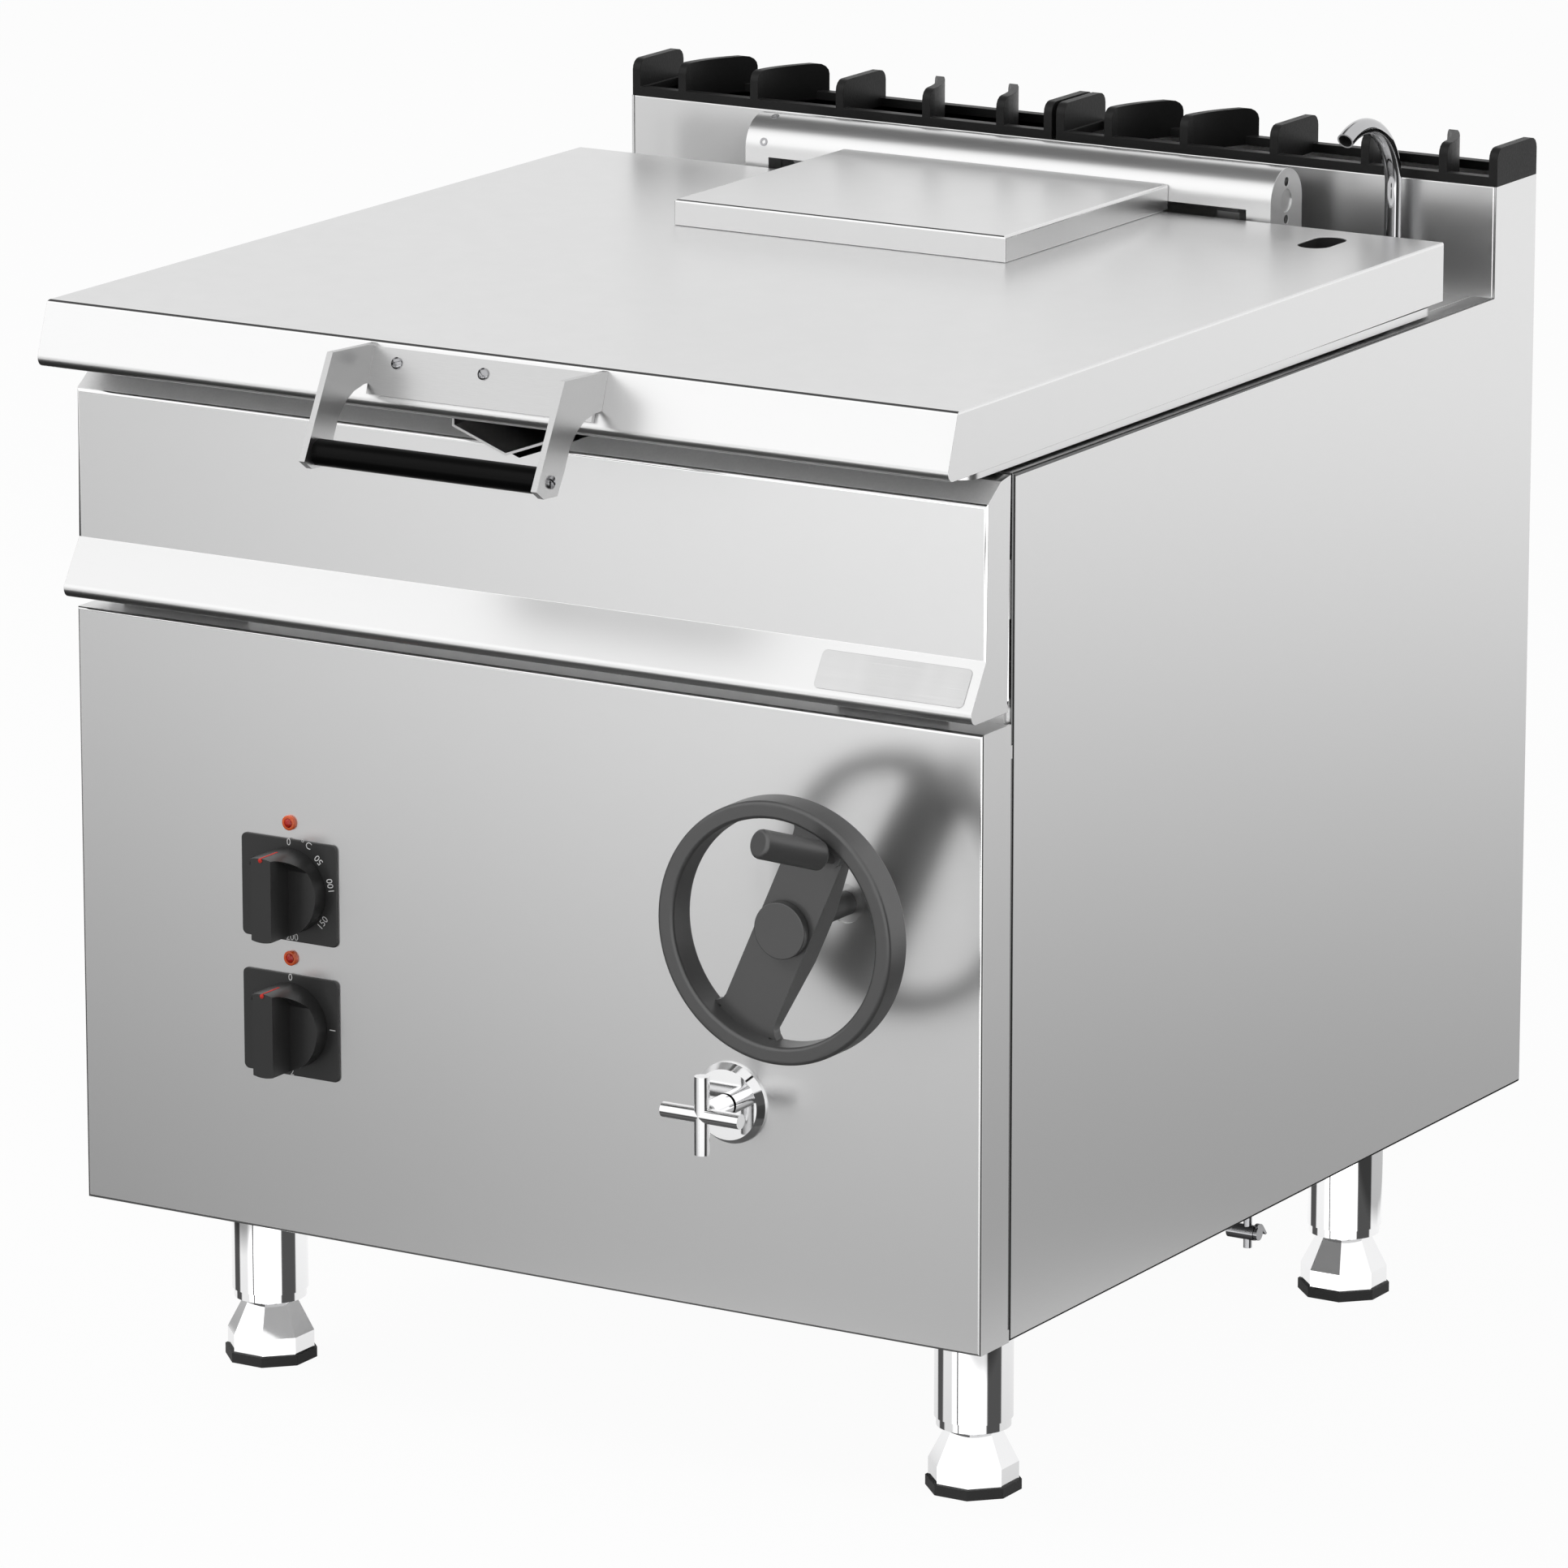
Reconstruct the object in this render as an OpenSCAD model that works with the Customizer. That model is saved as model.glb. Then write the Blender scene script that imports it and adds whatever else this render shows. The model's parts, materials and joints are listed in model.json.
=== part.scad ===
/* [Cabinet] */
// Width over the side panels
body_w = 800; // [780:5:830]
// Depth of the side panels, front edge to back
body_d = 825; // [815:1:850]
// Height of the cabinet underside above the floor
base_h = 150; // [145:1:165]
// Height of the worktop edge above the floor
deck_h = 806; // [804:1:808]
// Rise of the flue upstand above the worktop edge
flue_rise = 89; // [79:1:99]
// Depth of the flue upstand, front to back
flue_d = 69; // [64:1:74]
// Thickness of the cabinet sheet metal
sheet = 2; // [1.5:0.1:2.2]
// Inward return on the edges of a side panel
edge_return = 20; // [16:1:21]

/* [Front] */
// Distance the lower front panel stands forward of the side panels
door_forward = 43; // [40:1:46]
// Drop from the worktop edge to the top of the lower front panel
door_drop = 186; // [184:1:194]
// Drop from the worktop edge to the underside of the upper front panel
nose_drop = 176; // [172:1:178]
// Distance the upper front panel stands forward
fascia_forward = 38.5; // [37:0.5:41]
// Distance the rolled nose of the upper front panel stands forward
nose_forward = 60; // [56:1:66]

/* [Pan] */
// Width inside the tub
tub_w = 670; // [640:5:676]
// Distance of the tub's rear wall from the back of the cabinet
tub_behind = 295; // [291:1:325]
// Depth of the tub floor below the worktop edge
tub_depth = 186; // [166:1:190]
// Thickness of the tub floor
tub_plate = 10; // [6:0.5:12]
// Thickness of the tub walls
tub_wall = 3; // [2:0.5:4]
// Width over the rim of the pan
rim_w = 784; // [776:1:788]
// Drop from the worktop edge to the tilt pivot
pivot_drop = 86; // [82:1:88]
// Distance of the tilt pivot forward of the side panels
pivot_forward = 22; // [20:0.5:23]
// Radius of the tilt pivot pins
pivot_r = 8; // [6:0.5:9]
// Half the width of the pouring spout
spout_half_w = 47; // [42:1:50]

/* [Lid] */
// Width over the lid
lid_w = 796; // [780:1:798]
// Rise of the lid's top face above the worktop edge
lid_rise = 59; // [56:1:61]
// Front edge of the lid top, forward of the side panels
lid_forward = 77; // [72:1:80]
// Distance of the lid's rear edge from the back of the cabinet
lid_behind = 153; // [152:1:157]
// Width of the raised box on the lid
lid_box_w = 300; // [260:5:340]
// Radius of the hinge shaft
hinge_shaft_r = 9; // [7:0.5:10]
// Radius of the arched hinge cover
hinge_cover_r = 26; // [25:0.5:27]
// Distance between the lid handle arms
handle_span = 207; // [180:1:230]
// Radius of the lid handle grip
grip_r = 10; // [8:0.5:12]

/* [Tilt drive] */
// Tooth module of the tilt gears
gear_module = 5; // [5:1:5]
// Teeth on a full circle of the tilt quadrant
quadrant_teeth = 224; // [224:1:224]
// Teeth on the output pinion
pinion_teeth = 14; // [14:1:14]
// Radius of the pinion shaft
pinion_shaft_r = 8.5; // [7:0.5:9]
// Outer radius of the handwheel
wheel_r = 98.5; // [90:0.5:105]
// Drop from the lower front panel's top to the handwheel shaft
wheel_drop = 141; // [125:1:155]
// Sideways place of the handwheel shaft
wheel_x = 284; // [276:1:288]
// Radius of the handwheel shaft
wheel_shaft_r = 9; // [7:0.5:10]

/* [Controls] */
// Sideways place of the control plates
control_x = -206; // [-230:1:-190]
// Width of a control plate
plate_w = 87; // [80:1:95]
// Height of a control plate
plate_h = 80; // [74:1:84]
// Drop from the lower front panel's top to the thermostat knob
thermostat_drop = 197.3; // [180:0.1:202]
// Drop from the thermostat knob to the selector knob
selector_drop = 106.1; // [100:0.1:118]
// Radius of a knob skirt
knob_r = 33; // [28:0.5:36]
// Radius of an indicator lamp
lamp_r = 5.8; // [4:0.1:7]

/* [Water] */
// Sideways place of the swan neck tap
tap_x = 318; // [316:0.5:321]
// Radius of the tap tube
tap_r = 6.75; // [5:0.25:7]
// Bend radius of the swan neck
tap_bend_r = 55.2; // [54:0.1:57]
// Sideways place of the water valve
valve_x = 186; // [170:1:200]
// Drop from the handwheel shaft to the water valve
valve_drop = 166; // [150:1:180]

/* [Legs] */
// Radius of a leg tube
leg_r = 30; // [26:0.5:34]
// Sideways distance from the middle to a leg
leg_x = 319.3; // [300:0.5:330]
// Distance from the side panel front to the front legs
leg_front_y = 88; // [70:1:110]
// Distance from the back of the cabinet to the rear legs
leg_behind = 145.7; // [125:0.1:185]

/* [Hidden] */
$fn = 48;
// Overrun of every cut past the face that it opens
cut = 1;
// Running clearance between a shaft and its bore
run_gap = 0.05;
// Clearance between neighbouring pieces that move apart
free_gap = 0.3;
half_w = body_w / 2;
inner_half_w = half_w - sheet;
flue_front = body_d - flue_d;
pivot_y = -pivot_forward;
flue_h = deck_h + flue_rise;
door_top = deck_h - door_drop;
nose_bottom = deck_h - nose_drop;
tub_floor = deck_h - tub_depth;
tub_back = body_d - tub_behind;
pivot_h = deck_h - pivot_drop;
lid_top = deck_h + lid_rise;
lid_back = body_d - lid_behind;
wheel_h = door_top - wheel_drop;
thermostat_h = door_top - thermostat_drop;
selector_h = thermostat_h - selector_drop;
valve_h = wheel_h - valve_drop;
leg_rear_y = body_d - leg_behind;

// Fascia outline: the face, the top slopes and the rolled nose
fascia_sheet = 1.5;
fascia_face_drop = 132;
fascia_face_bottom = deck_h - fascia_face_drop;
fascia_top_drop = 17;
fascia_face_top = deck_h - fascia_top_drop;
fascia_slope_y = -18.3;
fascia_slope_drop = 2.7;
fascia_back_y = -2.7;
fascia_return_y = -6;
fascia_lip = 15;
nose_r = 7;
nose_angle = 146;
notch_clear = 4.9;
notch_shelf = 10;

// Pouring spout: a V trough over the notch
spout_tip_y = -57;
spout_apex_drop = 21.3;
spout_side_drop = 4;
spout_apex = deck_h - spout_apex_drop;
spout_side = deck_h - spout_side_drop;
spout_sheet = 2;

// Channel between the front panels
channel_lap = 8;
channel_tab = 11;
channel_slot_h = 5;
channel_slots = [[-382, -267], [256, 350]];

// Door details
door_sheet = 2;
door_gap = 2;
pad_w = 10;
wheel_hole_r = 15;
spindle_hole_r = 8;

// Rim of the pan, under the lid skirt
rim_rise = 8.5;
rim_gap = 2;
rim_top = deck_h + rim_rise;
rim_bottom = deck_h + rim_gap;
rim_front_y = -50;
rim_back_gap = 1;
rim_back_y = lid_back - rim_back_gap;
rim_corner_r = 15;
rim_sheet = 2;

// Casing round the tub; its front curves round the tilt pivot
casing_side_gap = 17;
casing_half_w = tub_w / 2 + casing_side_gap;
casing_front_r = 92;
casing_front_y = pivot_y + casing_front_r;
casing_gap_front = 6;
casing_back_gap = 15;
casing_below = 32;
casing_back = tub_back + casing_back_gap;
casing_bottom = tub_floor - casing_below;
casing_chamfer = 20;
casing_sheet = 1.5;
tub_front_r = casing_front_r + casing_gap_front + tub_wall;
tub_corner_r = 20;

// Pivot brackets on the casing and bearings on the cabinet
bracket_t = 10;
bracket_eye_r = 13;
bracket_reach = 150;
bracket_top_drop = 30;
bracket_low_drop = 110;
bracket_top_angle = 80;
bracket_low_angle = 215;
bearing_t = 18;
bearing_h = 44;
pivot_end_gap = 1;

// Heating elements under the tub floor
element_r = 4;
element_pitch = 50;
element_rows = 8;
element_inset = 45;

// Tilt gears
gear_pressure = 20;
quadrant_pitch_r = gear_module * quadrant_teeth / 2;
pinion_pitch_r = gear_module * pinion_teeth / 2;
gear_centres = quadrant_pitch_r + pinion_pitch_r;
quadrant_stand = 12;
quadrant_x = casing_half_w + quadrant_stand;
quadrant_t = 10;
quadrant_band = 22;
pinion_over = 2;
mesh_angle = -7;
quadrant_first_tooth = -52;
quadrant_last_tooth = -3;
pinion_addendum_share = 1;
quadrant_addendum_share = 0.75;
dedendum_share = 1.25;
pinion_y = pivot_y + gear_centres * cos(mesh_angle);
pinion_z = pivot_h + gear_centres * sin(mesh_angle);
gear_backlash = 0.25;
strut_w = 24;
strut_pad_r = 9;

// Gearbox behind the pan
gearbox_ahead = 12;
gearbox_front = pinion_y - gearbox_ahead;
gearbox_d = 76;
gearbox_w = 76;
gearbox_below = 30;
gearbox_above = 14;
gearbox_bore = 20;
stand_t = 6;
wheel_flange_r = 26;
wheel_flange_t = 12;

// Frame of the cabinet
post = 20;
rail = 30;
weld_gap = 0.2;

// Handwheel
wheel_front_y = -145;
wheel_depth = 26;
wheel_rim = 13.5;
wheel_rim_round = 3;
spoke_w = 45;
spoke_t = 9;
spoke_flare = 11;
spoke_flare_in = 15;
spoke_web = 26;
spoke_web_inset = 0.4;
spoke_bite = 3;
spoke_reach = wheel_r - wheel_rim + spoke_bite;
spoke_angle = 24;
hub_r = 21.3;
spoke_recess = 16;
spoke_front_y = wheel_front_y + spoke_recess;
hub_boss_r = 17;
hub_boss_len = 31;
hub_boss_end_y = spoke_front_y + hub_boss_len;
cap_t = 7;
ear_r = 10;
ear_recess = 4;
ear_front_y = wheel_front_y + ear_recess;
crank_bore = 42;
grip_x = 44.5;
grip_z = 63.6;
crank_r = 11;
crank_len = 59.5;
crank_pin_r = 4;
crank_collar = 3;
crank_round = 3;
crank_tilt = 28.4;
crank_turn = 140.2;
grip_tip_forward = -wheel_front_y + (crank_len + crank_collar) * cos(crank_tilt)
    + (crank_r - crank_round) * sin(crank_tilt);
// The frame's origin lies under the middle of the whole object, front to back
frame_shift = (grip_tip_forward - body_d) / 2;

// Controls
plate_t = 2;
plate_round = 2;
knob_skirt_t = 14;
knob_height = 38;
knob_bar_w = 18;
knob_scoop_r = 30;
knob_scoop_rise = 1.7;
spindle_r = 3;
control_w = 54;
control_h = 60;
control_d = 30;
lamp_offset = 52.4;
lamp_lens = 3;
lamp_body_r = 4;
lamp_body_len = 22;
box_x = [-300, -120];
box_d = 70;
box_z = [190, 270];
gland_r = 9;
gland_bore_r = 5.5;
gland_len = 14;
gland_flange = 3;
gland_x = -210;
gland_in = 46;
gland_y = flue_front - gland_in;

// Water parts
rosette_r = 31;
rosette_t = 8;
valve_body_r = 11;
valve_body_len = 46;
spindle_tip_y = -84;
valve_spindle_r = 4;
cross_long = 67;
cross_short = 60;
cross_r = 5.8;
cross_hub_r = 8.5;
cross_hub_in = 4;
cross_hub_gap = 1.5;
pipe_r = 6;
pipe_rise = 45;
pipe_low_z = base_h + pipe_rise;
inlet_in = 66;
inlet_y = flue_front - inlet_in;
inlet_thread_r = 10.48;
inlet_len = 22;
tap_stand_off = 0.1;
tap_turn_rise = 84.8;
tap_turn_z = deck_h + tap_turn_rise;
tap_sweep = 118.7;
tap_mouth_len = 8;
tap_wall = 1.2;
tap_flange_r = 17;
tap_base_y = flue_front - tap_flange_r - tap_stand_off;
tap_flange_t = 6;
tap_nut_r = 12;
tap_nut_h = 12;

// Drain valve under the base
drain_x = 330;
drain_in = 328;
drain_y = body_d - drain_in;
drain_z = 96.5;
drain_r = 3.4;
drain_body_r = 6;
drain_body_left = 16.4;
drain_body_right = 7.3;
drain_bore_r = 2;
drain_drop = 12.5;
drain_nut_r = 5.5;
drain_nut_h = 5;
lever_t = 3;
lever_hub_r = 5.4;
lever_band = 2.6;
lever_sink = 1;
lever_tip = [12.4, -2.4];
lever_tip_back = [10.7, -3.2];

// Legs and levelling feet
leg_wall = 1.5;
leg_plug_h = 12;
leg_plug_z = 57;
leg_collar = 7;
leg_flange_r = 38;
leg_flange_t = 4;
foot_screw_r = 8;
foot_socket_gap = 0.06;
foot_flat_across = 64;
foot_top_across = 40;
foot_bottom_z = 8;
foot_wide_z = 22;
foot_top_z = 47;
foot_screw_top_z = 100;
pad_across = 68;

// Lid
lid_sheet = 2;
lid_skirt_front_drop = 50;
lid_skirt_back_drop = 47;
lid_skirt_in = 13;
lid_nose_out = 14;
lid_nose_drop = 41;
lid_nose_angle = 161;
lid_skirt_front_z = lid_top - lid_skirt_front_drop;
lid_skirt_back_z = lid_top - lid_skirt_back_drop;
lid_skirt_front_y = lid_skirt_in - lid_forward;
lid_nose_y = -lid_forward - lid_nose_out;
lid_nose_z = lid_top - lid_nose_drop;
lid_nose_r = 7;
liner_drop = 20;
liner_sheet = 1.5;
liner_inset = 14;
slot_room_left = 6.25;
slot_room_right = 7.25;
slot_far = 143.9;
slot_near = 93.9;
slot_x = [tap_x - tap_r - slot_room_left, tap_x + tap_r + slot_room_right];
slot_y = [tap_base_y - slot_far, tap_base_y - slot_near];
slot_collar = 1.5;
box_run = 252;
box_rise = 21;
box_front_y = lid_back - box_run;
box_top = lid_top + box_rise;
box_sheet = 2;
hinge_behind = 31;
hinge_rise = 12.5;
hinge_y = lid_back + hinge_behind;
hinge_z = lid_top + hinge_rise;
cover_half_w = 242;
cover_sheet = 1.5;
cover_back_drop = 37.5;
cover_front_gap = 2;
cover_back_z = hinge_z - cover_back_drop;
cover_front_z = lid_skirt_back_z + cover_front_gap;
cover_window_half = 220;
cover_window_rise = 7;
cover_window_top = lid_top + cover_window_rise;
end_t = 3;
end_hole_r = 3.5;
end_hole_dz = 15;
shaft_recess = 1.2;
post_x = 195;
post_t = 20;
post_depth = 18;
post_head_r = 15;
post_gap = 1;
hinge_base_half = 205;
hinge_base_in = 32;
hinge_base_out = 56;
hinge_base_y = [lid_back - hinge_base_in, lid_back + hinge_base_out];
hinge_base_t = 3;
arm_x = 124;
arm_t = 8;
arm_hub_r = 16;
arm_h = 17;
arm_run = 232;
arm_front_y = lid_back - arm_run;

// Lid handle
handle_t = 5;
handle_plate_t = 4;
handle_screw_r = 4.5;
handle_screw_h = 2.5;
grip_out = 80;
grip_drop = 70;
grip_y = -lid_forward - grip_out;
grip_z_mid = lid_top - grip_drop;
handle_screw_pitch = 76;
handle_screw_drop = 15;
handle_screw_z = lid_top - handle_screw_drop;
handle_reach = 99;
handle_drop = 82;
grip_screw_r = 6;
grip_screw_t = 3;

// Cast grates on the flue
grate_base_h = 7;
grate_bar = 9;
grate_fin_t = 7.5;
grate_fin_h = 23;
grate_fin_round = 9;
grate_gap = 4;
grate_bow = 28;
grate_inset = 1;

// Places on a line, evenly spaced from a to b
function spread(a, b, n) = [for (i = [0:n - 1]) a + (b - a) * i / (n - 1)];
// Points of an arc, radius r about (cy, cz), from angle a to angle b
function arc(r, c, a, b, n = 12) = [for (t = spread(a, b, n)) [c[0] + r * cos(t), c[1] + r * sin(t)]];

module in_frame() {
    translate([0, frame_shift, 0]) children();
}
module block(x, y, z) {
    translate([x[0], y[0], z[0]]) cube([x[1] - x[0], y[1] - y[0], z[1] - z[0]]);
}
module rod_x(r, x, y, z) {
    translate([x[0], y, z]) rotate([0, 90, 0]) cylinder(r = r, h = x[1] - x[0]);
}
module rod_y(r, x, y, z) {
    translate([x, y[1], z]) rotate([90, 0, 0]) cylinder(r = r, h = y[1] - y[0]);
}
module rod_z(r, x, y, z) {
    translate([x, y, z[0]]) cylinder(r = r, h = z[1] - z[0]);
}
// Outline drawn in (y, z), drawn out along X
module along_x(x) {
    translate([x[0], 0, 0]) rotate([90, 0, 90]) linear_extrude(x[1] - x[0]) children();
}
// Outline drawn in (x, z), drawn out along Y
module along_y(y) {
    translate([0, y[1], 0]) rotate([90, 0, 0]) linear_extrude(y[1] - y[0]) children();
}
module along_z(z) {
    translate([0, 0, z[0]]) linear_extrude(z[1] - z[0]) children();
}
module area(a, b) {
    translate([a[0], b[0]]) square([a[1] - a[0], b[1] - b[0]]);
}
// Rectangle with round corners, between two corners
module round_area(a, b, r) {
    area([a[0] + r, a[1] - r], b);
    area(a, [b[0] + r, b[1] - r]);
    for (x = [a[0] + r, a[1] - r])
        for (y = [b[0] + r, b[1] - r])
            translate([x, y]) circle(r);
}
module mirrored() {
    children();
    mirror([1, 0, 0]) children();
}
// Closed outline, counterclockwise, moved inwards by t
function left_of(v) = [-v[1], v[0]] / norm(v);
function inset(p, t) = [for (i = [0:len(p) - 1])
    let (a = p[(i + len(p) - 1) % len(p)], b = p[i], c = p[(i + 1) % len(p)],
         u = left_of(b - a), v = left_of(c - b))
    b + (u + v) * t / (1 + u * v)];

steel = "Gainsboro";
bright = "Silver";
dark = "DimGray";

// Cabinet sheet metal
side_outline = [[0, base_h], [body_d, base_h], [body_d, flue_h], [flue_front, flue_h],
    [flue_front, deck_h], [0, deck_h]];
module side_panel() {
    along_x([inner_half_w, half_w]) polygon(side_outline);
    block([half_w - edge_return, inner_half_w], [0, sheet], [base_h, deck_h]);
    block([half_w - edge_return, inner_half_w], [0, flue_front], [deck_h - sheet, deck_h]);
    block([half_w - edge_return, inner_half_w], [0, flue_front], [base_h, base_h + sheet]);
}
module side_panel_left() color(steel) in_frame() mirror([1, 0, 0]) side_panel();
module side_panel_right() color(steel) in_frame() side_panel();

base_inset = 8;
base_top = base_h;
base_bottom = base_h - sheet;
module base_tray() color(steel) in_frame() {
    difference() {
        block([base_inset - half_w, half_w - base_inset], [sheet, flue_front], [base_bottom, base_top]);
        rod_z(drain_bore_r, drain_x, drain_y, [base_bottom - cut, base_top + cut]);
        rod_z(pipe_r, valve_x, inlet_y, [base_bottom - cut, base_top + cut]);
        rod_z(gland_r, gland_x, gland_y, [base_bottom - cut, base_top + cut]);
    }
}

louvre_count = 8;
louvre_h = 6;
louvre_w = 160;
louvre_z = [420, 560];
module back_panel() color(steel) in_frame()
    difference() {
        block([-inner_half_w, inner_half_w], [body_d - sheet, body_d], [base_h, flue_h]);
        for (z = spread(louvre_z[0], louvre_z[1], louvre_count), side = [-1, 1])
            translate([side * half_w / 2, 0, 0])
                block([-louvre_w / 2, louvre_w / 2], [body_d - sheet - cut, body_d + cut], [z,
                    z + louvre_h]);
    }

flue_ledge = 14;
module flue_upstand() color(steel) in_frame() {
    block([-inner_half_w, inner_half_w], [flue_front, flue_front + sheet], [deck_h - rail, flue_h]);
    block([-inner_half_w, inner_half_w], [flue_front + sheet, flue_front + flue_ledge],
        [flue_h - sheet, flue_h]);
    block([-sheet / 2, sheet / 2], [flue_front + sheet, body_d - sheet], [deck_h, flue_h - sheet]);
}

deck_front = lid_back + 3;
deck_half_w = half_w - edge_return;
module rear_deck() color(steel) in_frame()
    difference() {
        union() {
            block([-deck_half_w, deck_half_w], [deck_front, flue_front], [deck_h - sheet, deck_h]);
            block([-deck_half_w, deck_half_w], [deck_front, deck_front + sheet],
                [deck_h - edge_return, deck_h - sheet]);
        }
        rod_z(pipe_r, tap_x, tap_base_y, [deck_h - sheet - cut, deck_h + cut]);
    }

// Lower front panel, folded back all round, with its holes
door_y = -door_forward;
module lower_front_panel() color(steel) in_frame()
    difference() {
        union() {
            block([-half_w, half_w], [door_y, door_y + door_sheet], [base_h, door_top]);
            mirrored() block([half_w - door_sheet, half_w], [door_y, -door_gap], [base_h, door_top]);
            block([-half_w, half_w], [door_y, fascia_return_y], [door_top - door_sheet, door_top]);
            block([-half_w, half_w], [door_y, -door_gap], [base_h, base_h + door_sheet]);
            for (z = [base_h, door_top - 2 * channel_lap - pad_w])
                mirrored() block([half_w - pad_w, half_w], [-door_gap - door_sheet, 0], [z, z + pad_w]);
        }
        door_hole(wheel_hole_r, wheel_x, wheel_h);
        door_hole(spindle_hole_r, valve_x, valve_h);
        for (z = [thermostat_h, selector_h]) {
            door_hole(spindle_hole_r, control_x, z);
            door_hole(lamp_body_r, control_x, z + lamp_offset);
        }
    }
module door_hole(r, x, z) rod_y(r, x, [door_y - cut, door_y + door_sheet + cut], z);

// Upper front panel, rolled under at the nose, with the notch below the spout
fascia_outline = concat(
    [[fascia_back_y, deck_h], [fascia_slope_y, deck_h - fascia_slope_drop],
     [-fascia_forward, fascia_face_top], [-fascia_forward, fascia_face_bottom]],
    arc(nose_r, [nose_r - nose_forward, nose_bottom + nose_r], nose_angle, 270),
    [[fascia_return_y, nose_bottom], [fascia_return_y, nose_bottom + channel_lap]]);
spout_slope = (spout_side - spout_apex) / spout_half_w;
notch_half = spout_half_w + notch_shelf;
notch_apex = spout_apex - notch_clear;
module upper_front_panel() color(steel) in_frame()
    difference() {
        along_x([-half_w, half_w]) polygon(fascia_outline);
        along_x([-inner_half_w, inner_half_w]) {
            polygon(inset(fascia_outline, fascia_sheet));
            area([fascia_return_y - nose_r, cut], [nose_bottom + fascia_sheet, deck_h - fascia_lip]);
        }
        along_y([-nose_forward, cut])
            polygon([[0, notch_apex], [notch_half, notch_apex + notch_half * spout_slope],
                [notch_half, deck_h + cut], [-notch_half, deck_h + cut],
                [-notch_half, notch_apex + notch_half * spout_slope]]);
    }

channel_half = inner_half_w - sheet;
channel_z = [door_top - channel_lap, nose_bottom + channel_lap];
module vent_channel() color(dark) in_frame()
    difference() {
        union() {
            block([-channel_half, channel_half], [fascia_return_y, fascia_return_y + sheet], channel_z);
            mirrored() block([channel_half - channel_tab, channel_half], [fascia_return_y + sheet, 0],
                channel_z);
        }
        for (x = channel_slots)
            block(x, [fascia_return_y - cut, fascia_return_y + sheet + cut],
                [(door_top + nose_bottom - channel_slot_h) / 2,
                    (door_top + nose_bottom + channel_slot_h) / 2]);
    }

// Posts at the corners, floor rails and a cross rail behind the channel
post_x0 = inner_half_w - post;
front_post_y = [sheet, sheet + post];
back_post_y = [flue_front - post, flue_front];
rail_z = [base_h + sheet, base_h + sheet + rail];
module frame_rails() color(bright) in_frame() {
    mirrored() {
        block([post_x0, inner_half_w], front_post_y, [base_h + sheet, deck_h - sheet]);
        block([post_x0, inner_half_w], back_post_y, [base_h + sheet, deck_h - rail]);
        block([post_x0, inner_half_w], [front_post_y[1] + weld_gap, back_post_y[0] - weld_gap], rail_z);
    }
    for (y = [front_post_y, back_post_y])
        block([weld_gap - post_x0, post_x0 - weld_gap], y, rail_z);
    block([weld_gap - post_x0, post_x0 - weld_gap], front_post_y, [door_top - rail, door_top]);
    gearbox_stand();
}

pivot_x = casing_half_w + bracket_t;
module pivot_bearings() color(bright) in_frame()
    mirrored() difference() {
        block([inner_half_w - bearing_t, inner_half_w],
            [fascia_sheet - fascia_forward, 0], [pivot_h - bearing_h / 2, pivot_h + bearing_h / 2]);
        rod_x(pivot_r + run_gap, [inner_half_w - bearing_t - cut, inner_half_w + cut], pivot_y, pivot_h);
    }

// Cast grates: a base frame with fins; the outer fins bow towards the ends
grate_y = [flue_front + grate_inset, body_d];
grate_top = flue_h + grate_base_h;
fin_span = half_w - grate_gap / 2 - grate_fin_t;
module grate() {
    difference() {
        block([grate_gap / 2, half_w], grate_y, [flue_h, grate_top]);
        block([grate_gap / 2 + grate_bar, half_w - grate_bar], [grate_y[0] + grate_bar,
            grate_y[1] - grate_bar],
            [flue_h - cut, grate_top + cut]);
    }
    for (i = [0:len(grate_fin_shares) - 1])
        translate([grate_gap / 2 + fin_span * grate_fin_shares[i], 0, 0])
            grate_fin(grate_bow_shares[i] * grate_bow);
}
grate_fin_shares = [0, 0.1133, 0.2907, 0.5, 0.7093, 0.8867, 1];
grate_bow_shares = [0, 1, 1, 0, -1, -1, 0];
// One fin: its plan bows sideways, and both its top corners are round
module grate_fin(bow) {
    y = spread(grate_y[0], grate_y[1], 9);
    top = grate_top + grate_fin_h;
    back = [for (v = y) bow * pow((v - y[0]) / (y[8] - y[0]), 2)];
    intersection() {
        along_z([flue_h, top])
            polygon(concat([for (i = [0:8]) [back[i], y[i]]],
                [for (i = [8:-1:0]) [back[i] + grate_fin_t, y[i]]]));
        along_x([-grate_bow, grate_bow + grate_fin_t])
            polygon(concat([[y[0], flue_h], [y[8], flue_h]],
                arc(grate_fin_round, [y[8] - grate_fin_round, top - grate_fin_round], 0, 90, 5),
                arc(grate_fin_round, [y[0] + grate_fin_round, top - grate_fin_round], 90, 180, 5)));
    }
}
module flue_grate_left() color(dark) in_frame() mirror([1, 0, 0]) grate();
module flue_grate_right() color(dark) in_frame() grate();

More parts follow.
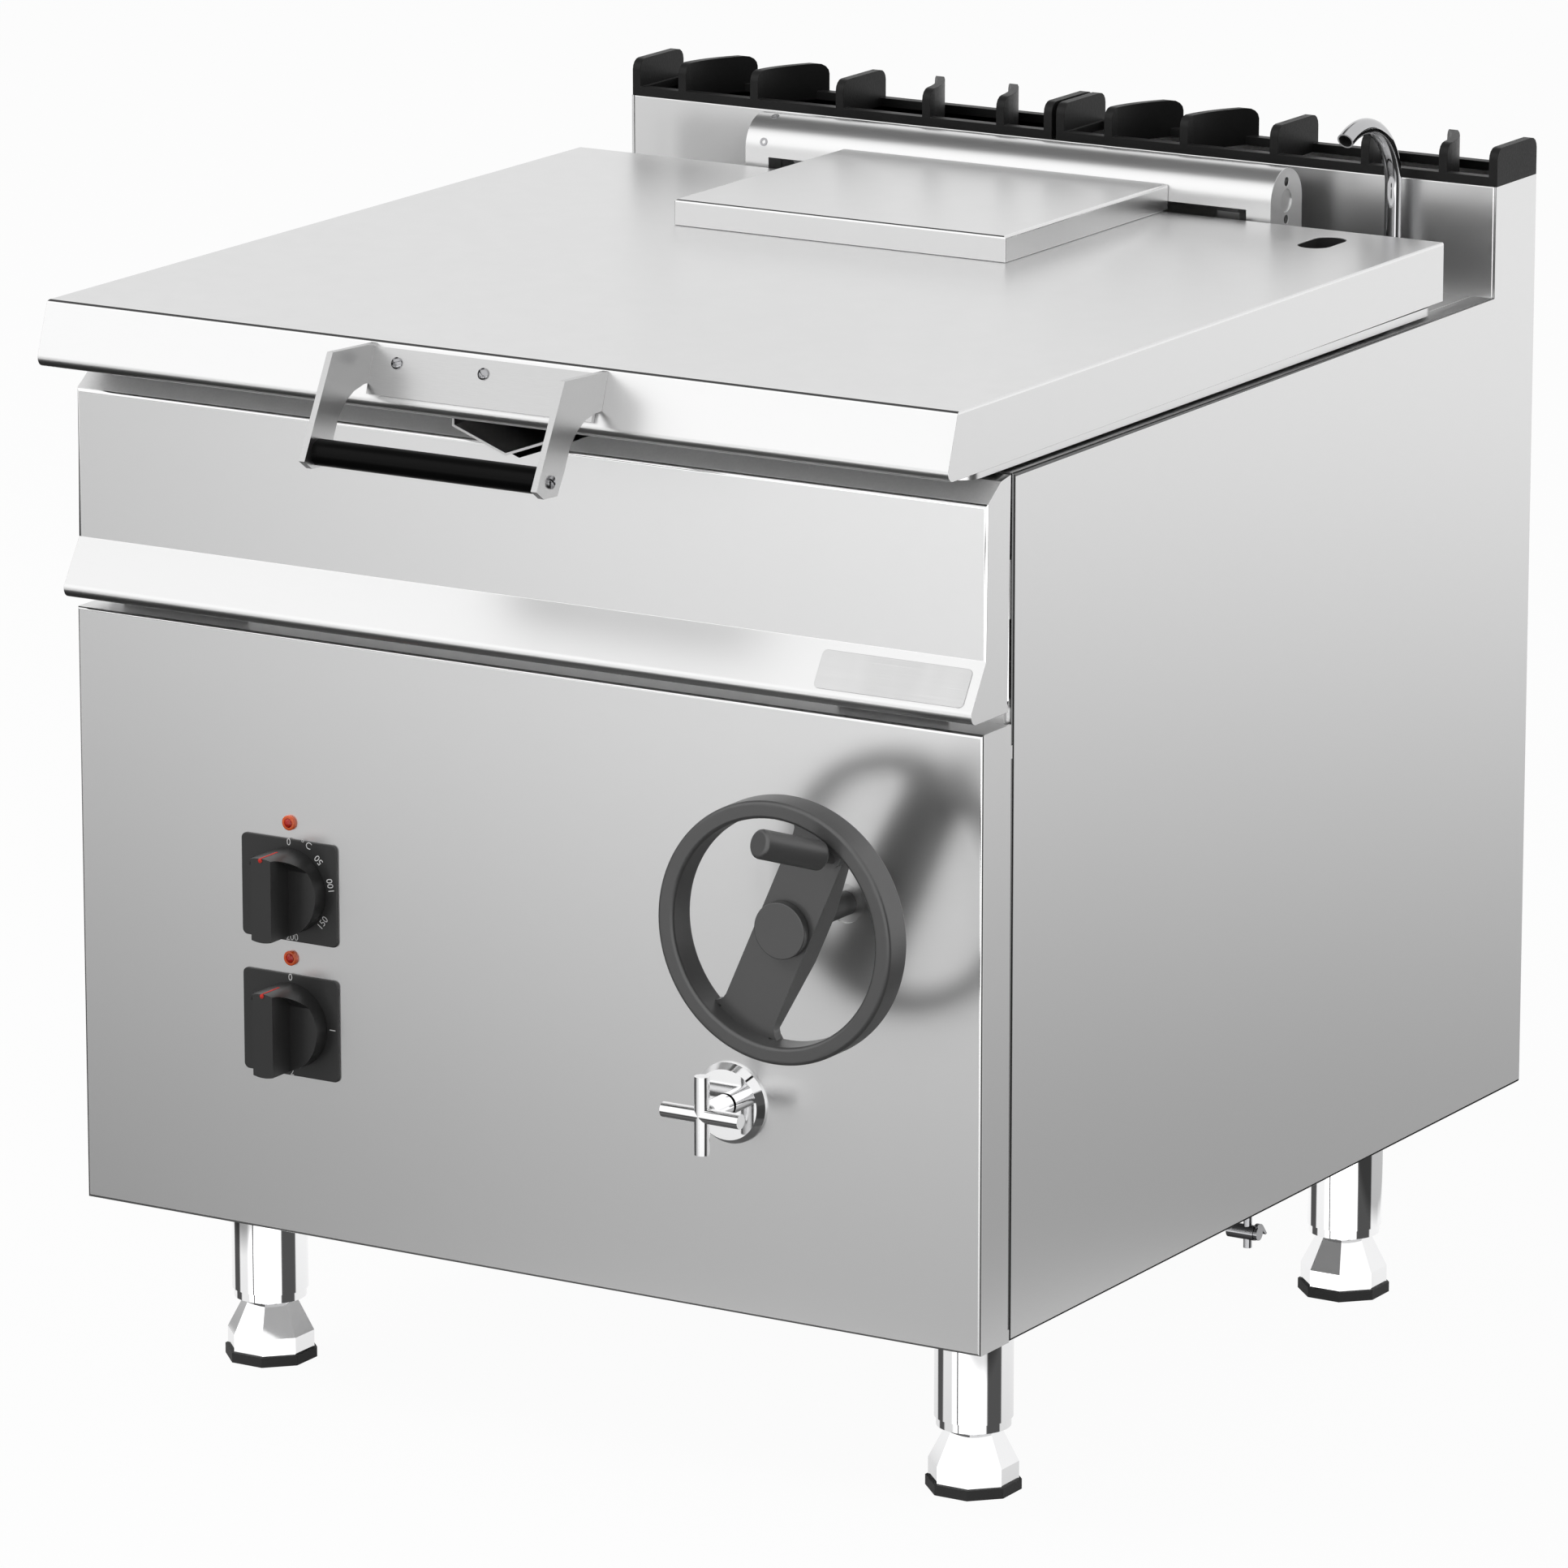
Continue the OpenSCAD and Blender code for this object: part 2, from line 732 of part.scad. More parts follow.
// Controls on the lower front panel
plate_y = door_y - plate_t;
module dial_plates() color(dark) in_frame()
    for (z = [thermostat_h, selector_h])
        difference() {
            along_y([plate_y, door_y])
                round_area([control_x - plate_w / 2, control_x + plate_w / 2],
                    [z - plate_h / 2, z + plate_h / 2], plate_round);
            rod_y(spindle_hole_r, control_x, [plate_y - cut, door_y + cut], z);
        }
module indicator_lamps() color("red") in_frame()
    for (z = [thermostat_h, selector_h]) {
        rod_y(lamp_r, control_x, [door_y - lamp_lens, door_y], z + lamp_offset);
        rod_y(lamp_body_r, control_x, [door_y, door_y + lamp_body_len], z + lamp_offset);
    }
unit_y = door_y + door_sheet;
module control_unit(z)
    difference() {
        union() {
            block([control_x - control_w / 2, control_x + control_w / 2], [unit_y, unit_y + control_d],
                [z - control_h / 2, z + control_h / 2 - lamp_offset / 3]);
            rod_y(spindle_hole_r, control_x, [unit_y - door_sheet, unit_y], z);
        }
        rod_y(spindle_r + run_gap, control_x, [door_y - cut, unit_y + control_d / 2], z);
    }
module control_units() color(dark) in_frame()
    for (z = [thermostat_h, selector_h])
        control_unit(z);

module knob(z) {
    front = plate_y - free_gap - knob_height;
    skirt = plate_y - free_gap - knob_skirt_t;
    difference() {
        rod_y(knob_r, control_x, [front, plate_y - free_gap], z);
        translate([control_x, 0, z]) mirrored() along_x([knob_bar_w / 2, knob_r + cut])
            polygon(concat([[front - cut, -knob_r - cut], [skirt, -knob_r - cut]],
                arc(knob_scoop_r, [front, knob_scoop_rise], acos((skirt - front) / knob_scoop_r), 90, 8),
                [[front - cut, knob_scoop_r + knob_scoop_rise]]));
    }
    rod_y(spindle_r, control_x, [plate_y - free_gap, unit_y + control_d / 2 - free_gap], z);
}
module thermostat_knob() color(dark) in_frame() knob(thermostat_h);
module selector_knob() color(dark) in_frame() knob(selector_h);

module terminal_box() color(dark) in_frame() {
    block(box_x, [body_d - sheet - box_d, body_d - sheet], box_z);
}
module cable_gland() color(dark) in_frame()
    difference() {
        union() {
            rod_z(gland_r, gland_x, gland_y, [base_bottom, base_top]);
            rod_z(gland_r + gland_flange, gland_x, gland_y, [base_bottom - gland_len, base_bottom]);
        }
        rod_z(gland_bore_r, gland_x, gland_y, [base_bottom - gland_len - cut, base_top + cut]);
    }

// Water supply: valve on the lower front panel, pipe to the tap
module valve_rosette() color(bright) in_frame()
    translate([valve_x, door_y, valve_h]) rotate([90, 0, 0])
        rotate_extrude() polygon([[valve_spindle_r + run_gap, 0], [rosette_r, 0],
            [rosette_r, rosette_t / 4], [rosette_r - rosette_t / 2, rosette_t],
            [valve_spindle_r + run_gap, rosette_t]]);
valve_end_y = unit_y + valve_body_len;
module water_valve_body() color("Peru") in_frame()
    difference() {
        union() {
            rod_y(valve_body_r, valve_x, [unit_y, valve_end_y], valve_h);
            rod_y(spindle_hole_r, valve_x, [door_y, unit_y], valve_h);
        }
        rod_y(valve_spindle_r + run_gap, valve_x, [door_y - cut, unit_y + valve_body_len / 2], valve_h);
    }
pipe_front_y = valve_end_y - pipe_r - sheet;
pipe_stops = [[valve_x, pipe_front_y, valve_h - valve_body_r], [valve_x, pipe_front_y, pipe_low_z],
    [valve_x, tap_base_y, pipe_low_z], [tap_x, tap_base_y, pipe_low_z], [tap_x, tap_base_y, deck_h]];
module water_pipe() color("Peru") in_frame() {
    for (i = [0:len(pipe_stops) - 2])
        pipe_leg(pipe_stops[i], pipe_stops[i + 1]);
    for (i = [1:len(pipe_stops) - 2])
        translate(pipe_stops[i]) sphere(pipe_r);
    rod_z(pipe_r, valve_x, inlet_y, [base_bottom, pipe_low_z]);
    rod_z(inlet_thread_r, valve_x, inlet_y, [base_bottom - inlet_len, base_bottom]);
}
// Straight pipe along the one axis on which the two ends differ
module pipe_leg(a, b) {
    low = [for (i = [0:2]) min(a[i], b[i])];
    high = [for (i = [0:2]) max(a[i], b[i])];
    if (low[0] < high[0])
        rod_x(pipe_r, [low[0], high[0]], low[1], low[2]);
    else if (low[1] < high[1])
        rod_y(pipe_r, low[0], [low[1], high[1]], low[2]);
    else
        rod_z(pipe_r, low[0], low[1], [low[2], high[2]]);
}
module tap_base() color(bright) in_frame()
    difference() {
        union() {
            rod_z(tap_flange_r, tap_x, tap_base_y, [deck_h, deck_h + tap_flange_t]);
            rod_z(tap_nut_r, tap_x, tap_base_y, [deck_h + tap_flange_t,
                deck_h + tap_flange_t + tap_nut_h]);
        }
        rod_z(tap_r, tap_x, tap_base_y, [deck_h - cut, deck_h + tap_flange_t + tap_nut_h + cut]);
    }
module swan_neck_tap() color(bright) in_frame()
    difference() {
        union() {
            rod_z(tap_r, tap_x, tap_base_y, [deck_h, tap_turn_z]);
            tap_bend();
        }
        tap_mouth();
    }
module tap_bend()
    translate([tap_x, tap_base_y - tap_bend_r, tap_turn_z]) rotate([90, 0, 90])
        rotate_extrude(angle = tap_sweep) translate([tap_bend_r, 0]) circle(tap_r);
module tap_mouth()
    translate([tap_x, tap_base_y - tap_bend_r, tap_turn_z]) rotate([90, 0, 90])
        rotate([0, 0, tap_sweep]) translate([tap_bend_r, 0, 0]) rotate([-90, 0, 0])
            translate([0, 0, -tap_mouth_len]) cylinder(r = tap_r - tap_wall, h = tap_mouth_len + cut);
module water_valve_handle() color(bright) in_frame() {
    rod_y(cross_hub_r, valve_x, [spindle_tip_y + cross_hub_in, door_y - rosette_t - cross_hub_gap], valve_h);
    rod_x(cross_r, [valve_x - cross_long / 2, valve_x + cross_long / 2], spindle_tip_y, valve_h);
    rod_z(cross_r, valve_x, spindle_tip_y, [valve_h - cross_short / 2, valve_h + cross_short / 2]);
    rod_y(valve_spindle_r, valve_x, [spindle_tip_y, unit_y + valve_body_len / 2 - free_gap], valve_h);
}

// Drain valve of the base, with its lever on the right end
module drain_valve_body() color(dark) in_frame()
    difference() {
        union() {
            rod_x(drain_body_r, [drain_x - drain_body_left, drain_x + drain_body_right], drain_y, drain_z);
            rod_z(drain_nut_r, drain_x, drain_y, [base_bottom - drain_nut_h, base_bottom]);
            rod_z(drain_r, drain_x, drain_y, [drain_z - drain_drop, base_bottom]);
        }
        rod_z(drain_bore_r, drain_x, drain_y, [drain_z - drain_drop - cut, base_bottom + cut]);
    }
module drain_lever() color(dark) in_frame()
    along_x([drain_x + drain_body_right + free_gap, drain_x + drain_body_right + free_gap + lever_t])
        translate([drain_y, drain_z]) {
            circle(lever_hub_r);
            polygon(concat(arc(lever_hub_r + lever_band, [0, 0], 115, 35, 6), [lever_tip, lever_tip_back],
                arc(lever_hub_r - lever_sink, [0, 0], 50, 115, 4)));
        }

// Legs, levelling feet and their pads, one of each at every corner
leg_places = [[-leg_x, leg_front_y], [leg_x, leg_front_y], [-leg_x, leg_rear_y], [leg_x, leg_rear_y]];
module leg_tubes() color(bright) in_frame()
    for (p = leg_places)
        difference() {
            union() {
                rod_z(leg_r, p[0], p[1], [leg_plug_z, base_bottom]);
                rod_z(leg_flange_r, p[0], p[1], [base_bottom - leg_flange_t, base_bottom]);
                rod_z(leg_r - leg_wall, p[0], p[1], [leg_plug_z - leg_collar, leg_plug_z]);
            }
            rod_z(leg_r - leg_wall, p[0], p[1], [leg_plug_z + leg_plug_h, base_bottom - leg_flange_t]);
            rod_z(foot_screw_r + foot_socket_gap, p[0], p[1],
                [leg_plug_z - leg_collar - cut, leg_plug_z + leg_plug_h + cut]);
        }
module foot(i) {
    p = leg_places[i];
    translate([p[0], p[1], 0]) rotate(180 / 8) {
        translate([0, 0, foot_bottom_z]) cylinder(r = eight(foot_flat_across),
            h = foot_wide_z - foot_bottom_z, $fn = 8);
        translate([0, 0, foot_wide_z])
            cylinder(r1 = eight(foot_flat_across), r2 = eight(foot_top_across),
                h = foot_top_z - foot_wide_z, $fn = 8);
    }
    rod_z(foot_screw_r, p[0], p[1], [foot_top_z, foot_screw_top_z]);
}
// Corner radius of an octagon, from its width across flats
function eight(across) = across / 2 / cos(180 / 8);
module foot_pad(i)
    translate([leg_places[i][0], leg_places[i][1], 0]) rotate(180 / 8)
        cylinder(r = eight(pad_across), h = foot_bottom_z, $fn = 8);
module foot_front_left() color(bright) in_frame() foot(0);
module foot_front_right() color(bright) in_frame() foot(1);
module foot_rear_left() color(bright) in_frame() foot(2);
module foot_rear_right() color(bright) in_frame() foot(3);
module pad_front_left() color(dark) in_frame() foot_pad(0);
module pad_front_right() color(dark) in_frame() foot_pad(1);
module pad_rear_left() color(dark) in_frame() foot_pad(2);
module pad_rear_right() color(dark) in_frame() foot_pad(3);

// Tilt drive
module wheel_frame() translate([wheel_x, wheel_front_y, wheel_h]) rotate([-90, 0, 0]) children();
module spoke_outline() {
    area([-spoke_w / 2, spoke_w / 2], [-spoke_reach, spoke_reach]);
    u = wheel_r - wheel_rim - spoke_flare_in;
    for (turn = [0, 180])
        rotate(turn) polygon(concat(arc(spoke_flare, [spoke_w / 2 + spoke_flare, u], 180, 90, 5),
            arc(spoke_flare, [-spoke_w / 2 - spoke_flare, u], 90, 0, 5)));
}
module spoke_web_outline() {
    front = spoke_front_y + spoke_t;
    back = spoke_front_y + spoke_web;
    polygon([[front - cut, -spoke_reach], [front, -spoke_reach], [back, -hub_r], [back, hub_r],
        [front, spoke_reach], [front - cut, spoke_reach]]);
}

module handwheel() color(dark) in_frame()
    difference() {
        union() {
            wheel_frame() rotate_extrude()
                round_area([wheel_r - wheel_rim, wheel_r], [0, wheel_depth], wheel_rim_round);
            translate([wheel_x, 0, wheel_h])
                along_y([spoke_front_y, spoke_front_y + spoke_t]) rotate(-spoke_angle) spoke_outline();
            translate([wheel_x, 0, wheel_h]) rotate([0, spoke_angle, 0])
                along_x([spoke_web_inset - spoke_w / 2, spoke_w / 2 - spoke_web_inset]) spoke_web_outline();
            rod_y(hub_boss_r, wheel_x, [spoke_front_y, hub_boss_end_y], wheel_h);
            rod_y(ear_r, wheel_x + grip_x, [ear_front_y, spoke_front_y], wheel_h + grip_z);
            crank_place([-ear_r, crank_bore - run_gap * 8]) cylinder(r = crank_pin_r,
                h = ear_r + crank_bore);
        }
        rod_y(wheel_shaft_r, wheel_x, [spoke_front_y - cut, hub_boss_end_y + cut], wheel_h);
    }
module crank_place(span)
    translate([wheel_x + grip_x, wheel_front_y, wheel_h + grip_z])
        rotate([0, -crank_turn, 0]) rotate([0, 0, crank_tilt]) rotate([90, 0, 0])
            translate([0, 0, span[0]]) children();
module crank_grip() color(dark) in_frame()
    crank_place([crank_collar, 0]) rotate_extrude()
        polygon(concat([[crank_pin_r + run_gap, 0], [crank_r - crank_round, 0], [crank_r, crank_round]],
            arc(crank_round, [crank_r - crank_round, crank_len - crank_round], 0, 90, 4),
            [[0, crank_len], [0, crank_bore], [crank_pin_r + run_gap, crank_bore]]));
module hub_cap() color(dark) in_frame()
    rod_y(hub_r, wheel_x, [spoke_front_y - cap_t, spoke_front_y], wheel_h);
module wheel_shaft() color(dark) in_frame()
    rod_y(wheel_shaft_r, wheel_x, [spoke_front_y, gearbox_front + gearbox_bore - free_gap], wheel_h);
module wheel_bearing() color(bright) in_frame()
    difference() {
        rod_y(wheel_flange_r, wheel_x, [unit_y, unit_y + wheel_flange_t], wheel_h);
        rod_y(wheel_shaft_r + run_gap, wheel_x, [unit_y - cut, unit_y + wheel_flange_t + cut], wheel_h);
    }
gearbox_x = [wheel_x - gearbox_w / 2, wheel_x + gearbox_w / 2];
gearbox_y = [gearbox_front, gearbox_front + gearbox_d];
gearbox_z = [wheel_h - gearbox_below, pinion_z + gearbox_above];
module gearbox_housing() color(dark) in_frame()
    difference() {
        block(gearbox_x, gearbox_y, gearbox_z);
        rod_y(wheel_shaft_r + run_gap, wheel_x, [gearbox_front - cut, gearbox_front + gearbox_bore],
            wheel_h);
        rod_x(pinion_shaft_r + run_gap, [gearbox_x[1] - gearbox_bore, gearbox_x[1] + cut], pinion_y,
            pinion_z);
    }
module gearbox_stand() {
    for (x = [gearbox_x[0], gearbox_x[1] - stand_t])
        block([x, x + stand_t], gearbox_y, [base_top + stand_t + weld_gap, gearbox_z[0]]);
    block([gearbox_x[0] - rail, gearbox_x[1] + rail / 2], gearbox_y, [base_top, base_top + stand_t]);
}

// Involute gear outlines: half the angle of a tooth at radius rho
function involute(a) = tan(a) * 180 / PI - a;
function half_tooth(pitch_r, rho) =
    (PI * gear_module / 2 - gear_backlash) / (2 * pitch_r) * 180 / PI
    + involute(gear_pressure) - involute(acos(min(1, pitch_r * cos(gear_pressure) / rho)));
function polar(r, a) = [r * cos(a), r * sin(a)];
// One tooth about angle a, from its lower root to its upper root
function tooth(pitch_r, a, radii) = concat(
    [for (i = [0:len(radii) - 1]) polar(radii[i], a - half_tooth(pitch_r, radii[i]))],
    [for (i = [len(radii) - 1:-1:0]) polar(radii[i], a + half_tooth(pitch_r, radii[i]))]);
quadrant_step = 360 / quadrant_teeth;
pinion_step = 360 / pinion_teeth;
quadrant_root = quadrant_pitch_r - dedendum_share * gear_module;
quadrant_tip = quadrant_pitch_r + quadrant_addendum_share * gear_module;
pinion_root = pinion_pitch_r - dedendum_share * gear_module;
pinion_tip = pinion_pitch_r + pinion_addendum_share * gear_module;
pinion_base = pinion_pitch_r * cos(gear_pressure);
// The quadrant tooth nearest to the mesh line sets where the pinion has a gap
mesh_tooth = round(mesh_angle / quadrant_step);
pinion_gap_angle = mesh_angle + 180
    - (mesh_tooth * quadrant_step - mesh_angle) * quadrant_teeth / pinion_teeth;
module quadrant_outline() {
    first = quadrant_first_tooth * quadrant_step;
    last = quadrant_last_tooth * quadrant_step;
    translate([pivot_y, pivot_h]) polygon(concat(
        [for (i = [quadrant_first_tooth:quadrant_last_tooth])
            each tooth(quadrant_pitch_r, i * quadrant_step, [quadrant_root, quadrant_pitch_r,
                quadrant_tip])],
        arc(quadrant_pitch_r - quadrant_band, [0, 0], last + quadrant_step / 2,
            first - quadrant_step / 2, 32)));
}
// Struts from the toothed band to the casing, and the pads that carry them
strut_low = [pivot_y, pivot_h] + polar(quadrant_root - strut_w / 2, -82);
strut_mid = [pivot_y, pivot_h] + polar(quadrant_root - strut_w / 2, -45);
pad_low = [casing_front_y + strut_w, casing_bottom + strut_w];
pad_mid = [(casing_front_y + casing_back) / 2, casing_bottom + strut_w];
pad_top = [pivot_y, pivot_h] + polar(quadrant_root - strut_w / 2, quadrant_last_tooth * quadrant_step);
module strut(a, b) {
    d = (b - a) / norm(b - a);
    side = left_of(d) * strut_w / 2;
    polygon([a + side, a - side, b - side, b + side]);
}
quadrant_span = [quadrant_x, quadrant_x + quadrant_t];
module tilt_quadrant() color(bright) in_frame() {
    along_x(quadrant_span) {
        quadrant_outline();
        strut(strut_low, pad_low);
        strut(strut_mid, pad_mid);
    }
    for (p = [pad_low, pad_mid, pad_top])
        rod_x(strut_pad_r, [casing_half_w, quadrant_x + quadrant_t / 2], p[0], p[1]);
}
module output_pinion() color(bright) in_frame() {
    translate([quadrant_x - pinion_over, pinion_y, pinion_z]) rotate([90, 0, 90])
        linear_extrude(quadrant_t + 2 * pinion_over)
            polygon([for (i = [0:pinion_teeth - 1]) let (a = pinion_gap_angle + (i + 1 / 2) * pinion_step)
                each concat([polar(pinion_root, a - half_tooth(pinion_pitch_r, pinion_base))],
                    tooth(pinion_pitch_r, a, [pinion_base, (pinion_base + pinion_pitch_r) / 2,
                        pinion_pitch_r,
                        (pinion_pitch_r + pinion_tip) / 2, pinion_tip]),
                    [polar(pinion_root, a + half_tooth(pinion_pitch_r, pinion_base))])]);
    rod_x(pinion_shaft_r, [gearbox_x[1] - gearbox_bore + free_gap, quadrant_x - pinion_over], pinion_y,
        pinion_z);
}

// Pan: the front walls of the casing and the tub are arcs about the tilt pivot
function front_arc(r, top) = [for (p = arc(r, [pivot_y, pivot_h], asin((top - pivot_h) / r), 0, 10)) p];
casing_outline = concat([[casing_back, rim_bottom]], front_arc(casing_front_r, rim_bottom),
    [[casing_front_y, casing_bottom], [casing_back - casing_chamfer, casing_bottom],
     [casing_back, casing_bottom + casing_chamfer]]);
// Spout outline in (x, z); t moves it inwards
module spout_outline(t, top)
    polygon([[0, spout_apex + t], [spout_half_w - t, spout_side + t * (1 - spout_slope)],
        [spout_half_w - t, top], [t - spout_half_w, top], [t - spout_half_w,
            spout_side + t * (1 - spout_slope)]]);
module pan_casing() color(steel) in_frame()
    difference() {
        along_x([-casing_half_w, casing_half_w]) polygon(casing_outline);
        along_x([casing_sheet - casing_half_w, casing_half_w - casing_sheet]) {
            polygon(inset(casing_outline, casing_sheet));
            area([pivot_y + casing_front_r, casing_back - casing_sheet],
                [rim_bottom - 2 * casing_sheet, rim_bottom + cut]);
            area([pivot_y + sqrt(pow(casing_front_r + casing_sheet, 2) - pow(rim_bottom - pivot_h, 2)),
                casing_front_y + cut], [rim_bottom - 2 * casing_sheet, rim_bottom + cut]);
        }
        along_y([spout_tip_y, casing_front_y]) spout_outline(0, rim_top);
    }
tub_top = rim_top - rim_sheet;
function tub_outline(t) = concat(
    [[tub_back + t, tub_top + (t > 0 ? 0 : cut)]],
    front_arc(tub_front_r - t, tub_top + (t > 0 ? 0 : cut)),
    arc(tub_corner_r, [pivot_y + tub_front_r - t + tub_corner_r,
        tub_floor - (t > 0 ? tub_plate : 0) + tub_corner_r],
        180, 270, 6),
    arc(tub_corner_r, [tub_back + t - tub_corner_r, tub_floor - (t > 0 ? tub_plate : 0) + tub_corner_r],
        270, 360, 6));
module pan_tub() color(bright) in_frame()
    difference() {
        along_x([-tub_w / 2 - tub_wall, tub_w / 2 + tub_wall]) polygon(tub_outline(tub_wall));
        along_x([-tub_w / 2, tub_w / 2]) polygon(tub_outline(0));
        along_y([spout_tip_y, casing_front_y]) spout_outline(0, rim_top + cut);
    }
rim_open_y = pivot_y + sqrt(pow(tub_front_r, 2) - pow(tub_top - pivot_h, 2));
module pan_rim() color(steel) in_frame()
    difference() {
        along_z([rim_bottom, rim_top])
            round_area([-rim_w / 2, rim_w / 2], [rim_front_y, rim_back_y], rim_corner_r);
        along_z([rim_bottom - cut, tub_top])
            round_area([rim_sheet - rim_w / 2, rim_w / 2 - rim_sheet],
                [rim_front_y + rim_sheet, rim_back_y - rim_sheet], rim_corner_r - rim_sheet);
        along_z([tub_top - cut, rim_top + cut]) {
            area([-tub_w / 2, tub_w / 2], [rim_open_y, tub_back]);
            area([-spout_half_w, spout_half_w], [rim_front_y - cut, rim_open_y + cut]);
        }
        block([-spout_half_w, spout_half_w], [rim_front_y - cut, rim_front_y + rim_sheet + cut],
            [rim_bottom - cut, rim_top]);
    }
module pouring_spout() color(bright) in_frame()
    difference() {
        along_y([spout_tip_y, casing_front_y]) spout_outline(0, tub_top);
        along_y([spout_tip_y - cut, casing_front_y + cut]) spout_outline(spout_sheet, tub_top + cut);
        along_x([-half_w, half_w]) difference() {
            area([pivot_y, casing_front_y + cut], [pivot_h, rim_top]);
            translate([pivot_y, pivot_h]) circle(tub_front_r, $fn = 96);
        }
    }
module heating_elements() color(dark) in_frame()
    for (i = [0:element_rows - 1]) {
        y = casing_front_y + element_inset + i * element_pitch;
        rod_x(element_r, [element_inset - tub_w / 2, tub_w / 2 - element_inset], y,
            tub_floor - tub_plate - element_r);
    }
module pivot_brackets() color(bright) in_frame()
    mirrored() {
        along_x([casing_half_w, pivot_x]) {
            translate([pivot_y, pivot_h]) {
                circle(bracket_eye_r);
                polygon([polar(bracket_eye_r - cut, bracket_top_angle), polar(bracket_eye_r - cut,
                    bracket_low_angle),
                    [bracket_reach - pivot_y - rail, -bracket_low_drop], [bracket_reach - pivot_y,
                        -bracket_low_drop],
                    [bracket_reach - pivot_y, -bracket_top_drop]]);
            }
        }
        rod_x(pivot_r, [pivot_x - bracket_t / 2, inner_half_w - pivot_end_gap], pivot_y, pivot_h);
    }
module hinge_posts() color(steel) in_frame()
    difference() {
        union() {
            block([-hinge_base_half, hinge_base_half], hinge_base_y, [rim_top, rim_top + hinge_base_t]);
            mirrored() {
                block([post_x - post_t / 2, post_x + post_t / 2],
                    [hinge_y - post_depth / 2, hinge_y + post_depth / 2], [rim_top + hinge_base_t,
                        hinge_z]);
                rod_x(post_head_r, [post_x - post_t / 2, post_x + post_t / 2], hinge_y, hinge_z);
            }
        }
        rod_x(hinge_shaft_r + run_gap, [-half_w, half_w], hinge_y, hinge_z);
    }

// Lid: a folded shell with a sloping front and a rolled nose
lid_half = lid_w / 2;
lid_outline = concat([[lid_back, lid_top], [-lid_forward, lid_top]],
    arc(lid_nose_r, [lid_nose_y + lid_nose_r, lid_skirt_front_z + lid_nose_r], lid_nose_angle, 270, 8),
    [[lid_skirt_front_y, lid_skirt_front_z], [lid_back, lid_skirt_back_z]]);
module tap_slot(z, grow)
    along_z(z) round_area([slot_x[0] - grow, slot_x[1] + grow], [slot_y[0] - grow, slot_y[1] + grow],
        (slot_x[1] - slot_x[0]) / 2 + grow - run_gap);
liner_z = [lid_top - liner_drop, lid_top - liner_drop + liner_sheet];
module lid_shell() color(steel) in_frame()
    difference() {
        union() {
            difference() {
                along_x([-lid_half, lid_half]) polygon(lid_outline);
                along_x([lid_sheet - lid_half, lid_half - lid_sheet]) {
                    polygon(inset(lid_outline, lid_sheet));
                    area([lid_skirt_front_y, lid_back - lid_sheet],
                        [lid_skirt_front_z - cut, lid_skirt_back_z + 2 * lid_sheet]);
                }
            }
            tap_slot([liner_z[0], lid_top - lid_sheet], slot_collar);
        }
        tap_slot([liner_z[0] - cut, lid_top + cut], 0);
    }
lip_y = [rim_open_y - liner_inset, tub_back + liner_inset];
lip_half = tub_w / 2 + liner_inset;
lip_z = [rim_top + free_gap, liner_z[0]];
module lid_liner() color(bright) in_frame()
    difference() {
        union() {
            block([lid_sheet - lid_half, lid_half - lid_sheet], [-lid_forward, lid_back - lid_sheet],
                liner_z);
            block([-lip_half, lip_half], lip_y, lip_z);
        }
        block([lid_sheet - lip_half, lip_half - lid_sheet], [lip_y[0] + lid_sheet, lip_y[1] - lid_sheet],
            [lip_z[0] - cut, lip_z[1]]);
        tap_slot([liner_z[0] - cut, lid_top], slot_collar);
    }
module lid_hinge_box() color(steel) in_frame()
    difference() {
        block([-lid_box_w / 2, lid_box_w / 2], [box_front_y, hinge_y - hinge_cover_r], [lid_top, box_top]);
        block([box_sheet - lid_box_w / 2, lid_box_w / 2 - box_sheet],
            [box_front_y + box_sheet, hinge_y], [lid_top - cut, box_top - box_sheet]);
    }
// Arched hinge cover: t moves its outline inwards
module arch(t, front_z, back_z) {
    translate([hinge_y, hinge_z]) circle(hinge_cover_r - t);
    area([hinge_y - hinge_cover_r + t, hinge_y], [front_z, hinge_z]);
    area([hinge_y, hinge_y + hinge_cover_r - t], [back_z, hinge_z]);
}
module hinge_cover() color(steel) in_frame() {
    hinge_end_plates();
    difference() {
        along_x([-cover_half_w, cover_half_w]) arch(0, cover_front_z, cover_back_z);
        along_x([-cover_half_w - cut, cover_half_w + cut]) {
            arch(cover_sheet, cover_front_z, cover_back_z);
            area([hinge_y - hinge_cover_r + cover_sheet, hinge_y + hinge_cover_r - cover_sheet],
                [cover_front_z - cut, hinge_z]);
        }
        block([-cover_window_half, cover_window_half], [hinge_y - hinge_cover_r - cut, hinge_y],
            [cover_front_z - cut, cover_window_top]);
        mirrored() {
            block([arm_x - arm_t / 2 - free_gap, arm_x + arm_t / 2 + free_gap],
                [hinge_y - hinge_cover_r - cut, hinge_y], [cover_window_top - cut,
                    lid_top + arm_h + free_gap]);
            block([post_x - post_t / 2 - post_gap, post_x + post_t / 2 + post_gap],
                [hinge_y, hinge_y + hinge_cover_r + cut], [cover_back_z - cut, hinge_z + post_head_r]);
        }
    }
}
module hinge_end_plates()
    mirrored() difference() {
        along_x([cover_half_w - end_t, cover_half_w])
            arch(cover_sheet, cover_back_z, cover_back_z);
        rod_x(hinge_shaft_r, [cover_half_w - end_t - cut, cover_half_w + cut], hinge_y, hinge_z);
        for (dz = [-end_hole_dz, end_hole_dz])
            rod_x(end_hole_r, [cover_half_w - end_t - cut, cover_half_w + cut], hinge_y, hinge_z + dz);
    }
